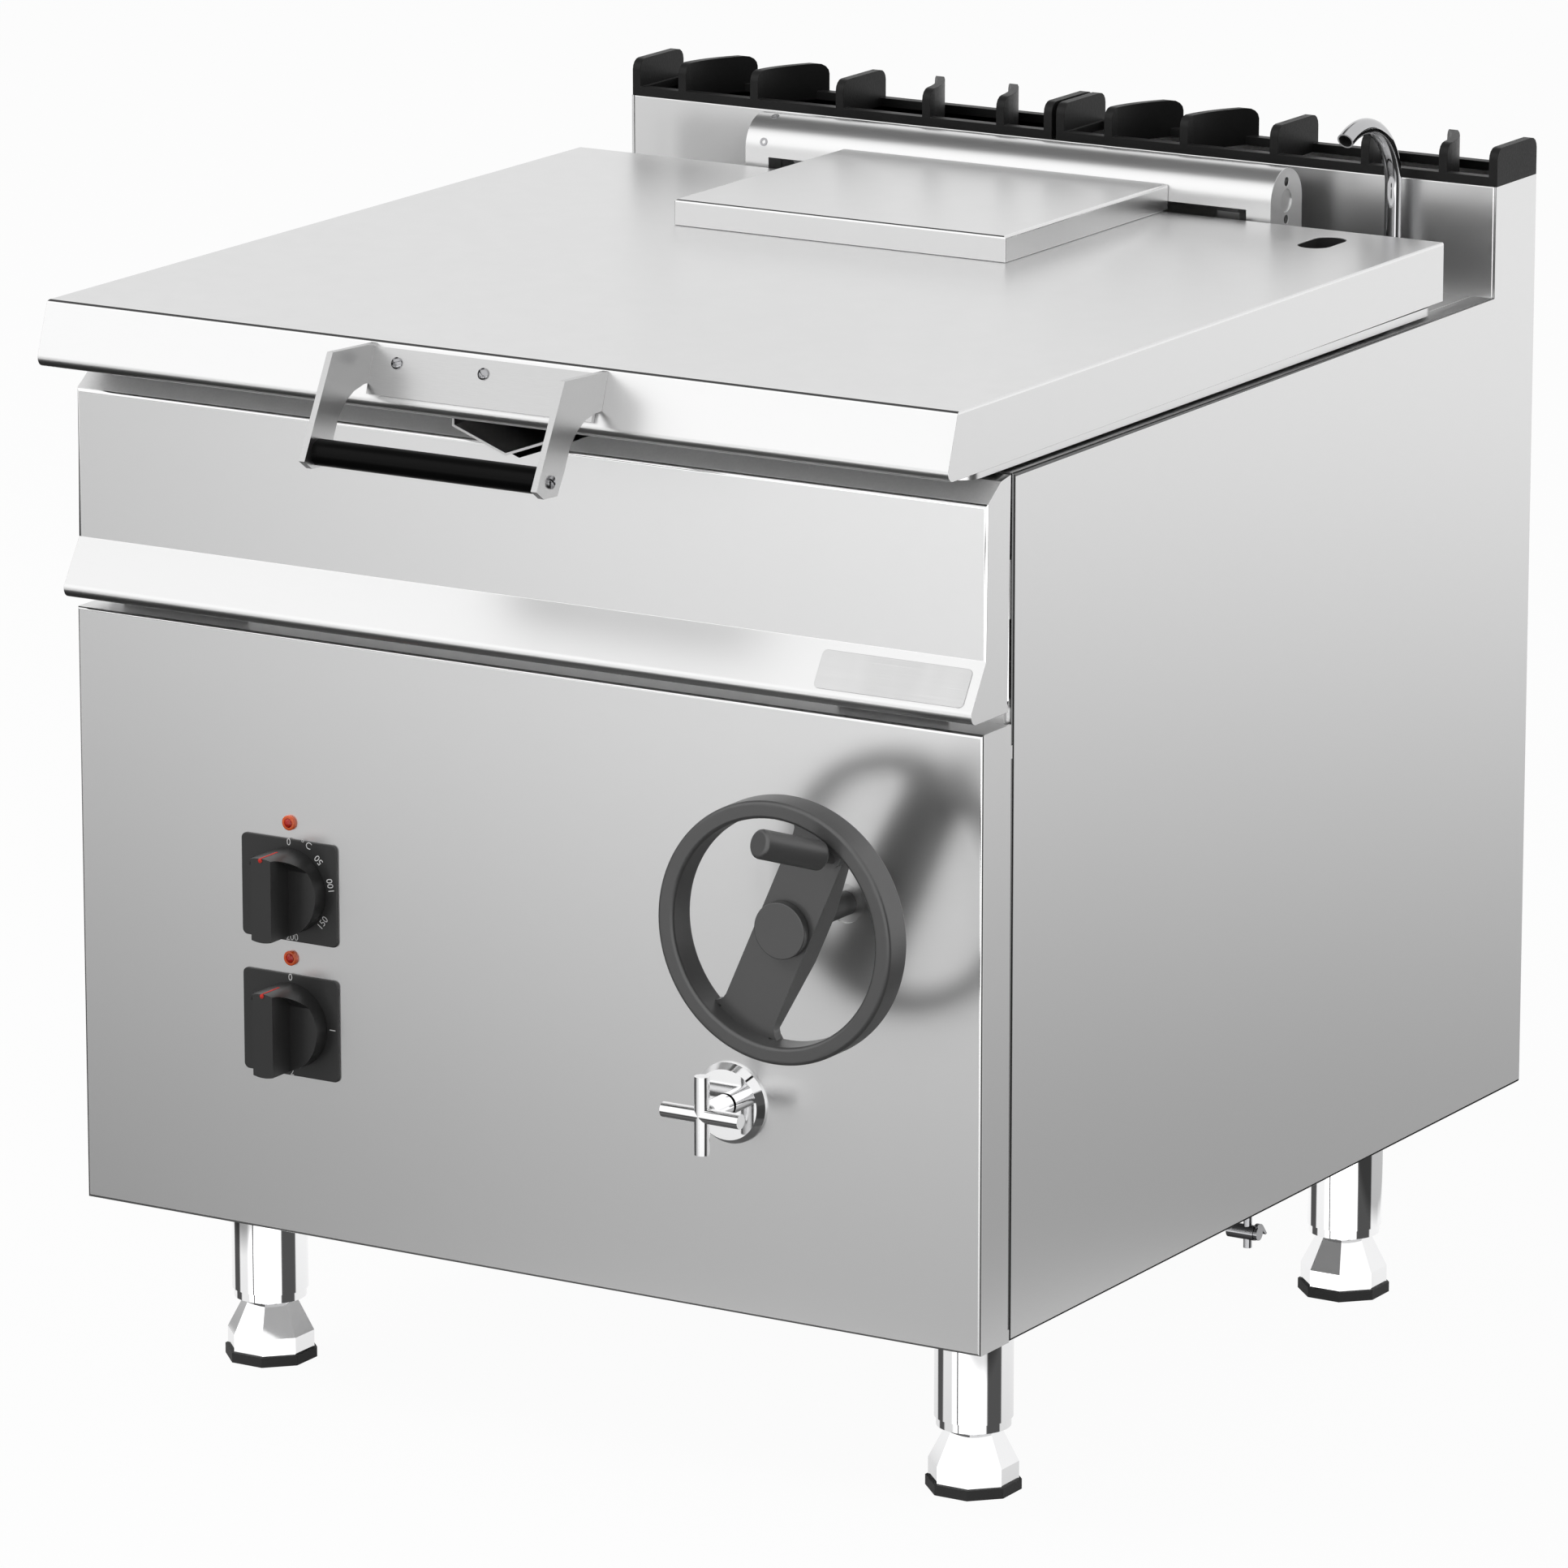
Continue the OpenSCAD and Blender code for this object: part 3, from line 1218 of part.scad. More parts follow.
module hinge_shaft() color(bright) in_frame() {
    rod_x(hinge_shaft_r, [shaft_recess - cover_half_w, cover_half_w - shaft_recess], hinge_y, hinge_z);
    mirrored() {
        block([arm_x - arm_t / 2, arm_x + arm_t / 2], [arm_front_y, hinge_y], [lid_top, lid_top + arm_h]);
        rod_x(arm_hub_r, [arm_x - arm_t / 2, arm_x + arm_t / 2], hinge_y, hinge_z);
    }
}

// Lid handle: a plate on the sloping front, two curved arms and a round grip
handle_shares = [[0.007, 0.024], [0.606, -0.012], [1, 0.902], [0.9, 0.988], [0.717, 1], [0.62, 0.8],
    [0.545, 0.6], [0.44, 0.47], [0.33, 0.4], [0.196, 0.366], [0.103, 0.366]];
handle_outline = [for (p = handle_shares) [-lid_forward - p[0] * handle_reach,
    lid_top - p[1] * handle_drop]];
lid_slope = [lid_nose_y - -lid_forward, lid_nose_z - lid_top];
slope_dir = lid_slope / norm(lid_slope);
slope_out = [slope_dir[1], -slope_dir[0]];
plate_ends = [[-lid_forward, lid_top] + slope_dir * handle_t, [-lid_forward,
    lid_top] + slope_dir * handle_drop / 2];
arm_inner = handle_span / 2 - handle_t;
module lid_handle_bracket() color(bright) in_frame() {
    along_x([-arm_inner, arm_inner])
        polygon([plate_ends[0], plate_ends[1], plate_ends[1] + slope_out * handle_plate_t,
            plate_ends[0] + slope_out * handle_plate_t]);
    mirrored() along_x([arm_inner, arm_inner + handle_t]) polygon(handle_outline);
}
module lid_handle_grip() color(dark) in_frame()
    rod_x(grip_r, [-arm_inner, arm_inner], grip_y, grip_z_mid);
module handle_screws() color(bright) in_frame() {
    mirrored() rod_x(grip_screw_r, [handle_span / 2, handle_span / 2 + grip_screw_t], grip_y, grip_z_mid);
    for (x = [-handle_screw_pitch, 0, handle_screw_pitch]) {
        down = (lid_top - handle_screw_z) / -slope_dir[1];
        c = [-lid_forward, lid_top] + slope_dir * down + slope_out * handle_plate_t;
        translate([x, c[0], c[1]]) rotate([atan2(-slope_out[0], slope_out[1]), 0, 0])
            cylinder(r = handle_screw_r, h = handle_screw_h);
    }
}

side_panel_left();
side_panel_right();
base_tray();
back_panel();
flue_upstand();
rear_deck();
lower_front_panel();
upper_front_panel();
vent_channel();
frame_rails();
pivot_bearings();
flue_grate_left();
flue_grate_right();
dial_plates();
indicator_lamps();
control_units();
thermostat_knob();
selector_knob();
terminal_box();
cable_gland();
valve_rosette();
water_valve_body();
water_pipe();
tap_base();
swan_neck_tap();
water_valve_handle();
drain_valve_body();
drain_lever();
leg_tubes();
foot_front_left();
foot_front_right();
foot_rear_left();
foot_rear_right();
pad_front_left();
pad_front_right();
pad_rear_left();
pad_rear_right();
handwheel();
crank_grip();
hub_cap();
wheel_shaft();
wheel_bearing();
gearbox_housing();
tilt_quadrant();
output_pinion();
pan_casing();
pan_tub();
pan_rim();
pouring_spout();
heating_elements();
pivot_brackets();
hinge_posts();
lid_shell();
lid_liner();
lid_hinge_box();
hinge_cover();
hinge_shaft();
lid_handle_bracket();
lid_handle_grip();
handle_screws();
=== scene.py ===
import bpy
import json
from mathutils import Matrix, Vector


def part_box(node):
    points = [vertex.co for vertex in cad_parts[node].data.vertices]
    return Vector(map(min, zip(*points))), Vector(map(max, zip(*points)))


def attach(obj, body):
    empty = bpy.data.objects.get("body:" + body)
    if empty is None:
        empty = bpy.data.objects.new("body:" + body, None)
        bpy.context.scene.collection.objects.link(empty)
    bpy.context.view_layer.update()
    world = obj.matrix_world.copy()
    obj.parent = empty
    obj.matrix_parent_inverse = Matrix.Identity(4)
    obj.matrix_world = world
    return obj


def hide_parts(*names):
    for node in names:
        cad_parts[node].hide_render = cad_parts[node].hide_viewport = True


bl_info = {
    "name": "Tilting bratt pan",
    "version": (1, 0, 0),
    "blender": (4, 5, 0),
    "location": "3D View > Sidebar > Bratt pan",
    "description": "Dresses the solids of a tilting bratt pan and sets them in a pale studio",
    "category": "Object",
}

import json
import math

import bmesh
import bpy
from mathutils import Matrix, Vector

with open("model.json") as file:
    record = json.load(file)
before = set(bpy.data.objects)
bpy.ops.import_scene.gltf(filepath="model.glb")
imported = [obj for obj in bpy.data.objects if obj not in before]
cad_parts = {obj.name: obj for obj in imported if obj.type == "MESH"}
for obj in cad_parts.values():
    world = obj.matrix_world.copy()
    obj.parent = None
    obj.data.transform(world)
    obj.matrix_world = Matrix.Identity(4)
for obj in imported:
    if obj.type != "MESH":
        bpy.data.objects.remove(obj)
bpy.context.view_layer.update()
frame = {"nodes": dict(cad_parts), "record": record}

MM = 0.001
# From the front edge of the side panels to the middle of the depth, in millimetres
SETBACK = 310.6085
WHITE = (1, 1, 1, 1)
EVEN = (1, 1, 1)


def place(x, y, z):
    """A point given in millimetres from the front edge of the cabinet, the middle and the floor."""
    return Vector((x * MM, (y - SETBACK) * MM, z * MM))


# Sizes and colours
class PanStudio(bpy.types.PropertyGroup):
    azimuth: bpy.props.FloatProperty(
        name="Azimuth",
        description="Camera's turn to the right of the front",
        default=math.radians(31.2675),
        subtype="ANGLE",
    )
    elevation: bpy.props.FloatProperty(
        name="Elevation",
        description="Camera's height angle",
        default=math.radians(14.0921),
        subtype="ANGLE",
    )
    distance: bpy.props.FloatProperty(
        name="Distance", description="From the camera to its target", default=7.5248, unit="LENGTH"
    )
    target: bpy.props.FloatVectorProperty(
        name="Target",
        description="Point that the camera looks at",
        default=(0.02364, -0.01061, 0.46151),
        subtype="XYZ",
        unit="LENGTH",
    )
    lens: bpy.props.FloatProperty(
        name="Lens", description="Focal length on a 36 mm sensor", default=222.85, unit="CAMERA"
    )
    floor_size: bpy.props.FloatProperty(
        name="Floor", description="Side of the floor", default=60.0, unit="LENGTH"
    )
    floor_colour: bpy.props.FloatVectorProperty(
        name="Floor colour",
        description="Pale paint of the floor",
        default=(0.66, 0.66, 0.66),
        subtype="COLOR",
        min=0,
        max=1,
    )
    horizon: bpy.props.FloatProperty(
        name="Horizon in metal",
        description="White that metal shows from the height of the horizon up",
        default=1.0,
        min=0,
    )
    far_floor: bpy.props.FloatProperty(
        name="Far floor in metal",
        description="White that metal shows from the floor far out",
        default=1.18,
        min=0,
    )
    near_floor: bpy.props.FloatProperty(
        name="Near floor in metal",
        description="Share of it that is left close to the object",
        default=0.52,
        min=0,
        max=1,
    )
    front_card: bpy.props.FloatProperty(
        name="Front card",
        description="Extra white that metal shows from the upper front",
        default=0.40,
        min=0,
    )
    dark_card: bpy.props.FloatProperty(
        name="Dark cards",
        description="What metal shows from the dark cards and from straight below",
        default=0.09,
        min=0,
    )
    sky: bpy.props.FloatProperty(
        name="Sky", description="Soft light from all round", default=0.44, min=0
    )
    key: bpy.props.FloatProperty(
        name="Key", description="Power of the large lamp", default=150.0, min=0, unit="POWER"
    )
    fill: bpy.props.FloatProperty(
        name="Fill", description="Power of the side lamp", default=40.0, min=0, unit="POWER"
    )


class PanSheet(bpy.types.PropertyGroup):
    steel: bpy.props.FloatVectorProperty(
        name="Steel",
        description="Colour of the satin steel",
        default=(0.74, 0.74, 0.74),
        subtype="COLOR",
        min=0,
        max=1,
    )
    satin: bpy.props.FloatProperty(
        name="Satin",
        description="Roughness of the satin steel",
        default=0.30,
        min=0,
        max=1,
        subtype="FACTOR",
    )
    fold: bpy.props.FloatProperty(
        name="Fold", description="Radius of a folded sheet edge", default=1.1 * MM, unit="LENGTH"
    )
    bend: bpy.props.FloatProperty(
        name="Bend",
        description="Outer radius where a sheet is bent",
        default=2.4 * MM,
        unit="LENGTH",
    )
    badge_width: bpy.props.FloatProperty(
        name="Badge width",
        description="Length of the bare plate on the fascia nose",
        default=126 * MM,
        unit="LENGTH",
    )
    badge_height: bpy.props.FloatProperty(
        name="Badge height", description="Height of the bare plate", default=30 * MM, unit="LENGTH"
    )
    screw: bpy.props.FloatProperty(
        name="Screw",
        description="Radius of a screw head on the handle",
        default=4.5 * MM,
        unit="LENGTH",
    )


class PanControls(bpy.types.PropertyGroup):
    plastic: bpy.props.FloatVectorProperty(
        name="Plastic",
        description="Colour of the moulded plastic",
        default=(0.020, 0.020, 0.020),
        subtype="COLOR",
        min=0,
        max=1,
    )
    wheel: bpy.props.FloatVectorProperty(
        name="Wheel",
        description="Colour of the handwheel",
        default=(0.062, 0.062, 0.062),
        subtype="COLOR",
        min=0,
        max=1,
    )
    pointer: bpy.props.FloatVectorProperty(
        name="Pointer",
        description="Red of the pointers and lamps",
        default=(0.62, 0.02, 0.01),
        subtype="COLOR",
        min=0,
        max=1,
    )
    figures: bpy.props.FloatProperty(
        name="Figures",
        description="Height of the printed dial figures",
        default=5.4 * MM,
        unit="LENGTH",
    )
    knob: bpy.props.FloatProperty(
        name="Knob", description="Radius of a knob", default=33 * MM, unit="LENGTH"
    )
    lamp: bpy.props.FloatProperty(
        name="Lamp", description="Radius of a lamp's ring", default=5.8 * MM, unit="LENGTH"
    )


def studio():
    return bpy.context.scene.pan_studio


def sheet():
    return bpy.context.scene.pan_sheet


def controls():
    return bpy.context.scene.pan_controls


# Shader arithmetic
class Wire:
    """A socket in a node tree that takes part in Python arithmetic."""

    def __init__(self, graph, socket):
        self.graph = graph
        self.socket = socket

    def maths(self, operation, *values):
        """One Math node on this wire and other values."""
        return self.graph.node("ShaderNodeMath", {"operation": operation}, dict(enumerate(values)))

    def __add__(self, other):
        return self.maths("ADD", self, other)

    __radd__ = __add__

    def __sub__(self, other):
        return self.maths("SUBTRACT", self, other)

    def __rsub__(self, other):
        return self.maths("SUBTRACT", other, self)

    def __mul__(self, other):
        return self.maths("MULTIPLY", self, other)

    def __pow__(self, other):
        return self.maths("POWER", self, other)

    def or_more(self, other):
        """The larger of two values."""
        return self.maths("MAXIMUM", self, other)

    def within(self, low, high):
        """0 below low, 1 above high and even between them."""
        return self.graph.node(
            "ShaderNodeMapRange", {}, {"Value": self, "From Min": low, "From Max": high}
        )


class Graph:
    """Adds nodes to one tree and links them."""

    def __init__(self, tree):
        self.tree = tree

    def node(self, kind, settings, sockets, out=0):
        """Adds one node, with its settings first and then the values or links of its sockets."""
        made = self.tree.nodes.new(kind)
        for name, value in settings.items():
            setattr(made, name, value)
        for name, value in sockets.items():
            if isinstance(value, Wire):
                self.tree.links.new(value.socket, made.inputs[name])
            else:
                made.inputs[name].default_value = value
        return Wire(self, made.outputs[out]) if made.outputs else made

    def spread(self, scale=EVEN):
        """Object coordinates, stretched."""
        coordinates = self.node("ShaderNodeTexCoord", {}, {}, "Object")
        return self.node("ShaderNodeMapping", {}, {"Vector": coordinates, "Scale": scale})

    def noise(self, scale, stretch=EVEN, detail=3.0, roughness=0.5):
        where = self.spread(stretch)
        values = {"Vector": where, "Scale": scale, "Detail": detail, "Roughness": roughness}
        return self.node("ShaderNodeTexNoise", {}, values)

    def bump(self, height, strength, distance=0.2 * MM):
        values = {"Height": height, "Strength": strength, "Distance": distance}
        return self.node("ShaderNodeBump", {}, values, "Normal")

    def blend(self, share, one, other):
        """Colour one where share is 0 and the other where it is 1."""
        return self.node("ShaderNodeMix", {"data_type": "RGBA"}, {0: share, 6: one, 7: other}, 2)

    def mix(self, share, one, other):
        """Shader one where share is 0 and the other where it is 1."""
        return self.node("ShaderNodeMixShader", {}, {0: share, 1: one, 2: other})


def paint(colour):
    return (colour[0], colour[1], colour[2], 1.0)


def shade(colour, share):
    return tuple(min(1.0, c * share) for c in colour[:3]) + (1.0,)


finishes = {}


def finish(name, recipe, **constants):
    """One procedural finish. The recipe gets the graph and returns what varies over the surface."""
    if name in finishes:
        return finishes[name]
    material = bpy.data.materials.new(name)
    material.use_nodes = True
    tree = material.node_tree
    tree.nodes.clear()
    graph = Graph(tree)
    shader = tree.nodes.new("ShaderNodeBsdfPrincipled")
    for socket, value in constants.items():
        shader.inputs[socket.replace("_", " ")].default_value = value
    for socket, value in recipe(graph).items():
        tree.links.new(value.socket, shader.inputs[socket])
    out = tree.nodes.new("ShaderNodeOutputMaterial")
    tree.links.new(shader.outputs[0], out.inputs["Surface"])
    finishes[name] = material
    return material


# Finishes
def satin_steel():
    def recipe(g):
        grain = g.noise(60.0, (1, 1, 26), 2.0)
        cloud = g.noise(3.0, EVEN, 2.0)
        c = sheet().steel
        return {
            "Base Color": g.blend(cloud, shade(c, 0.975), shade(c, 1.02)),
            "Roughness": sheet().satin + (grain - 0.5) * 0.05 + (cloud - 0.5) * 0.03,
            "Normal": g.bump(grain, 0.03),
        }

    return finish("satin_steel", recipe, Metallic=1.0)


def drawn_edge(name, dark, light, roughness):
    """Steel along a fold, where the drawn surface is smoother than the sheet. Low dark and light
    shares paint shadow along the fold.
    """
    def recipe(g):
        grain = g.noise(60.0, (1, 1, 26), 2.0)
        c = sheet().steel
        return {
            "Base Color": g.blend(grain, shade(c, dark), shade(c, light)),
            "Roughness": roughness + grain * 0.05,
        }

    return finish(name, recipe, Metallic=1.0)


def fold_steel():
    return drawn_edge("fold_steel", 0.98, 1.06, 0.10)


def painted_fold_shadow():
    """Painted shadow on the rounded edges of the side panels, for the dark gap along their edges.
    """
    return drawn_edge("painted_fold_shadow", 0.16, 0.20, 0.22)


def inner_steel():
    def recipe(g):
        grain = g.noise(50.0, (22, 1, 1), 3.0)
        c = sheet().steel
        return {
            "Base Color": g.blend(grain, shade(c, 0.86), shade(c, 0.94)),
            "Roughness": 0.36 + (grain - 0.5) * 0.05,
            "Normal": g.bump(grain, 0.012),
        }

    return finish("inner_steel", recipe, Metallic=1.0)


def handle_steel():
    def recipe(g):
        brush = g.noise(90.0, (1, 20, 20), 3.0)
        c = sheet().steel
        return {
            "Base Color": g.blend(brush, shade(c, 0.64), shade(c, 0.74)),
            "Roughness": 0.30 + (brush - 0.5) * 0.10,
            "Normal": g.bump(brush, 0.05),
        }

    return finish("handle_steel", recipe, Metallic=1.0)


def polished(name, scale, dark, light, roughness, haziness=0.03, detail=3.0):
    """Smooth metal with a faint haze."""
    def recipe(g):
        haze = g.noise(scale, EVEN, detail)
        return {"Base Color": g.blend(haze, dark, light), "Roughness": roughness + haze * haziness}

    return finish(name, recipe, Metallic=1.0)


def chrome():
    return polished("chrome", 35.0, (0.86, 0.86, 0.87, 1), (0.90, 0.90, 0.90, 1), 0.045)


def dark_chrome():
    return polished("dark_chrome", 60.0, (0.30, 0.30, 0.31, 1), (0.36, 0.36, 0.37, 1), 0.12, 0.06)


# A copy of the chrome painted darker: painted shade for the dark surroundings that the tap reflects
def tap_chrome_painted_shade():
    return polished("tap_chrome_painted_shade", 35.0, (0.46, 0.46, 0.47, 1), (0.54, 0.54, 0.55, 1), 0.04)


def brass():
    return polished("brass", 45.0, (0.62, 0.44, 0.20, 1), (0.74, 0.55, 0.27, 1), 0.25, 0.15, 4.0)


def matt_painted_light():
    """Matt steel painted lighter than the sheet: painted light under the lid's overhang, on the
    slope above the nose and on the lid's underside.
    """
    def recipe(g):
        blast = g.noise(500.0, EVEN, 2.0)
        c = sheet().steel
        return {
            "Base Color": g.blend(blast, shade(c, 1.15), shade(c, 1.30)),
            "Roughness": 0.66 + (blast - 0.5) * 0.10,
            "Normal": g.bump(blast, 0.08),
        }

    return finish("matt_painted_light", recipe, Metallic=0.5)


def moulded(name, colour, roughness, **constants):
    def recipe(g):
        grain = g.noise(900.0, EVEN, 2.0)
        cloud = g.noise(25.0, EVEN, 2.0)
        return {
            "Base Color": g.blend(cloud, shade(colour, 0.94), shade(colour, 1.06)),
            "Roughness": roughness + (grain - 0.5) * 0.10,
            "Normal": g.bump(grain, 0.12),
        }

    return finish(name, recipe, **constants)


def black_plastic():
    return moulded("black_plastic", controls().plastic, 0.38, Specular_IOR_Level=0.60)


def wheel_plastic():
    return moulded("wheel_plastic", controls().wheel, 0.36, Specular_IOR_Level=0.95)


def grip_plastic():
    return moulded("grip_plastic", (0.003, 0.003, 0.003), 0.30, Specular_IOR_Level=0.07)


def rubber():
    return moulded("rubber", (0.018, 0.018, 0.018), 0.62)


def cast_iron():
    def recipe(g):
        sand = g.noise(420.0, EVEN, 4.0, 0.6)
        cloud = g.noise(30.0, EVEN, 3.0)
        return {
            "Base Color": g.blend(cloud, (0.007, 0.007, 0.007, 1), (0.015, 0.015, 0.015, 1)),
            "Roughness": 0.46 + (sand - 0.5) * 0.20,
            "Normal": g.bump(sand, 0.30, 0.4 * MM),
        }

    return finish("cast_iron", recipe, Specular_IOR_Level=0.22)


def element_steel():
    def recipe(g):
        scale = g.noise(160.0, EVEN, 4.0)
        return {
            "Base Color": g.blend(scale, (0.10, 0.09, 0.085, 1), (0.18, 0.16, 0.14, 1)),
            "Roughness": 0.48 + scale * 0.2,
            "Normal": g.bump(scale, 0.2, 0.3 * MM),
        }

    return finish("element_steel", recipe, Metallic=0.8)


def clear_plastic(name, scale, dark, light, roughness, clearness):
    """Tinted plastic that lets some light through."""
    def recipe(g):
        depth = g.noise(scale, EVEN, 2.0)
        return {"Base Color": g.blend(depth, dark, light), "Roughness": roughness + depth * 0.08}

    return finish(name, recipe, Transmission_Weight=clearness, IOR=1.49)


def lamp_red():
    c = controls().pointer
    return clear_plastic("lamp_red", 260.0, shade(c, 0.75), shade(c, 1.25), 0.10, 0.25)


def lamp_ring():
    return clear_plastic(
        "lamp_ring", 200.0, (0.80, 0.10, 0.02, 1), (0.95, 0.16, 0.03, 1), 0.14, 0.15
    )


def pointer_red():
    def recipe(g):
        wear = g.noise(700.0, EVEN, 2.0)
        ribs = g.node(
            "ShaderNodeTexWave", {"bands_direction": "Y"}, {"Vector": g.spread(), "Scale": 420.0}, 1
        )
        c = controls().pointer
        return {
            "Base Color": g.blend(ribs * 0.6 + wear * 0.4, shade(c, 0.8), shade(c, 1.3)),
            "Roughness": 0.40 + wear * 0.1,
            "Normal": g.bump(ribs, 0.5, 0.3 * MM),
        }

    return finish("pointer_red", recipe)


def print_white():
    def recipe(g):
        wear = g.noise(800.0, EVEN, 2.0)
        return {
            "Base Color": g.blend(wear, (0.74, 0.74, 0.74, 1), (0.86, 0.86, 0.86, 1)),
            "Roughness": 0.45 + wear * 0.1,
        }

    return finish("print_white", recipe)


def badge_steel():
    def recipe(g):
        brush = g.noise(220.0, (0.06, 1, 6), 4.0)
        cloud = g.noise(22.0, (1, 0.2, 0.2), 2.0)
        return {
            "Base Color": g.blend(cloud, (0.50, 0.50, 0.50, 1), (0.72, 0.72, 0.72, 1)),
            "Roughness": 0.32 + (brush - 0.5) * 0.20,
            "Normal": g.bump(brush, 0.15),
        }

    return finish("badge_steel", recipe, Metallic=1.0)


# Near-black paint for the sheets in the lid's slot, in the tap's mouth and behind the vents:
# painted shade where their insides lie in shade
def painted_gap_shade():
    def recipe(g):
        dust = g.noise(90.0, EVEN, 2.0)
        return {
            "Base Color": g.blend(dust, (0.004, 0.004, 0.004, 1), (0.010, 0.010, 0.010, 1)),
            "Roughness": 0.7 + dust * 0.1,
        }

    return finish("painted_gap_shade", recipe)


slot_finish = {
    "satin_steel": satin_steel,
    "inner_steel": inner_steel,
    "chrome": chrome,
    "black_plastic": black_plastic,
    "cast_iron": cast_iron,
    "brass": brass,
    "lamp_red": lamp_red,
    "rubber": rubber,
    "element_steel": element_steel,
}
special_finish = {
    "handwheel": wheel_plastic,
    "crank_grip": wheel_plastic,
    "hub_cap": wheel_plastic,
    "lid_handle_grip": grip_plastic,
    "lid_handle_bracket": handle_steel,
    "drain_valve_body": dark_chrome,
    "drain_lever": dark_chrome,
    "swan_neck_tap": tap_chrome_painted_shade,
}
node_slot = {row["node"]: row["material_slot"] for row in frame["record"]["subparts"]}
node_body = {}
for body_name, nodes in frame["record"].get("behaviour", {}).get("bodies", {}).items():
    for node_name in nodes:
        node_body[node_name] = body_name


def finish_of(node):
    """The finish of a solid: its own, or that of its material slot."""
    return special_finish.get(node, slot_finish[node_slot[node]])()


# Modelling helpers
def drop_selection():
    if bpy.context.object and bpy.context.object.mode != "OBJECT":
        bpy.ops.object.mode_set(mode="OBJECT")
    bpy.ops.object.select_all(action="DESELECT")


def take(piece):
    """Makes the piece the only selected and active one."""
    drop_selection()
    piece.select_set(True)
    bpy.context.view_layer.objects.active = piece
    return piece


def new_block(name, low, high):
    """A cube primitive between two corners in millimetres."""
    drop_selection()
    bpy.ops.mesh.primitive_cube_add(size=1)
    piece = bpy.context.object
    piece.name = name
    a, b = place(*low), place(*high)
    piece.location = (a + b) / 2
    piece.scale = b - a
    bpy.ops.object.transform_apply(location=True, rotation=True, scale=True)
    return piece


def cylinder(name, sides, radius, length, spot, turn=(0, 0, 0)):
    """A cylinder primitive with its radius and length in millimetres."""
    drop_selection()
    bpy.ops.mesh.primitive_cylinder_add(
        vertices=sides, radius=radius * MM, depth=length * MM, location=spot, rotation=turn
    )
    piece = bpy.context.object
    piece.name = name
    bpy.ops.object.transform_apply(location=True, rotation=True, scale=True)
    return piece


def new_rod(name, centre, radius, length, axis="Z", sides=48):
    """A cylinder along an axis about a centre in millimetres."""
    turn = {"Y": (math.pi / 2, 0, 0), "Z": (0, 0, 0)}[axis]
    return cylinder(name, sides, radius, length, place(*centre), turn)


def short_rod(name, sides, radius, length, z):
    """A cylinder on the Z axis at the origin, its middle at a height."""
    return cylinder(name, sides, radius, length, (0, 0, z * MM))


class Editing:
    """Edit mode on one piece, with nothing selected at first."""

    def __init__(self, piece, kind="FACE"):
        self.piece = take(piece)
        self.kind = kind

    def __enter__(self):
        bpy.ops.object.mode_set(mode="EDIT")
        bpy.ops.mesh.select_mode(type=self.kind)
        bpy.ops.mesh.select_all(action="DESELECT")
        return self

    def __exit__(self, *problem):
        bpy.ops.object.mode_set(mode="OBJECT")

    def pick(self, test):
        """Selects the faces, edges or vertices that pass the test, and only them."""
        mesh = bmesh.from_edit_mesh(self.piece.data)
        parts = {"FACE": mesh.faces, "EDGE": mesh.edges, "VERT": mesh.verts}[self.kind]
        for part in parts:
            part.select_set(False)
        chosen = [part for part in parts if test(part)]
        if not chosen:
            raise RuntimeError("nothing to pick on " + self.piece.name)
        for part in chosen:
            part.select_set(True)
        mesh.select_flush_mode()
        bmesh.update_edit_mesh(self.piece.data)


def facing(x, y, z, limit=0.99):
    """A test for faces whose normal points one way."""
    aim = Vector((x, y, z)).normalized()
    return lambda face: face.normal.dot(aim) > limit


def along(edge, axis):
    """How far an edge runs along one axis."""
    ends = [getattr(vert.co, axis) for vert in edge.verts]
    return abs(ends[0] - ends[1])


def apply_modifier(piece, kind, **settings):
    take(piece)
    modifier = piece.modifiers.new(kind.title(), kind)
    for name, value in settings.items():
        setattr(modifier, name, value)
    bpy.ops.object.modifier_apply(modifier=modifier.name)


def round_edges(piece, width, segments, angle, material):
    apply_modifier(
        piece,
        "BEVEL",
        width=width * MM,
        segments=segments,
        limit_method="ANGLE",
        angle_limit=math.radians(angle),
        use_clamp_overlap=True,
        miter_outer="MITER_ARC",
        material=material,
    )


def discard(piece):
    """Deletes a piece that has done its work."""
    take(piece)
    bpy.ops.object.delete()


def cut(piece, tool):
    """Cuts one piece out of another and deletes it."""
    apply_modifier(piece, "BOOLEAN", operation="DIFFERENCE", object=tool, solver="EXACT")
    discard(tool)


def smooth(piece, angle=35):
    """Smooth shading over small angles, with flat faces kept flat."""
    take(piece)
    bpy.ops.object.shade_smooth_by_angle(angle=math.radians(angle))
    apply_modifier(piece, "WEIGHTED_NORMAL", mode="FACE_AREA", weight=100, keep_sharp=True)


def join(name, pieces):
    """Joins pieces into the first."""
    take(pieces[0])
    for piece in pieces[1:]:
        piece.select_set(True)
    if len(pieces) > 1:
        bpy.ops.object.join()
    joined = bpy.context.object
    joined.name = name
    return joined


def dress(piece, material, body, stands_for=()):
    """Gives a finished piece its material and its place in the object."""
    piece.data.materials.clear()
    piece.data.materials.append(material)
    settle(piece, body, stands_for)


def settle(piece, body, stands_for=()):
    take(piece)
    bpy.ops.object.transform_apply(location=True, rotation=True, scale=True)
    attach(piece, body)
    if stands_for:
        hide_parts(*stands_for)


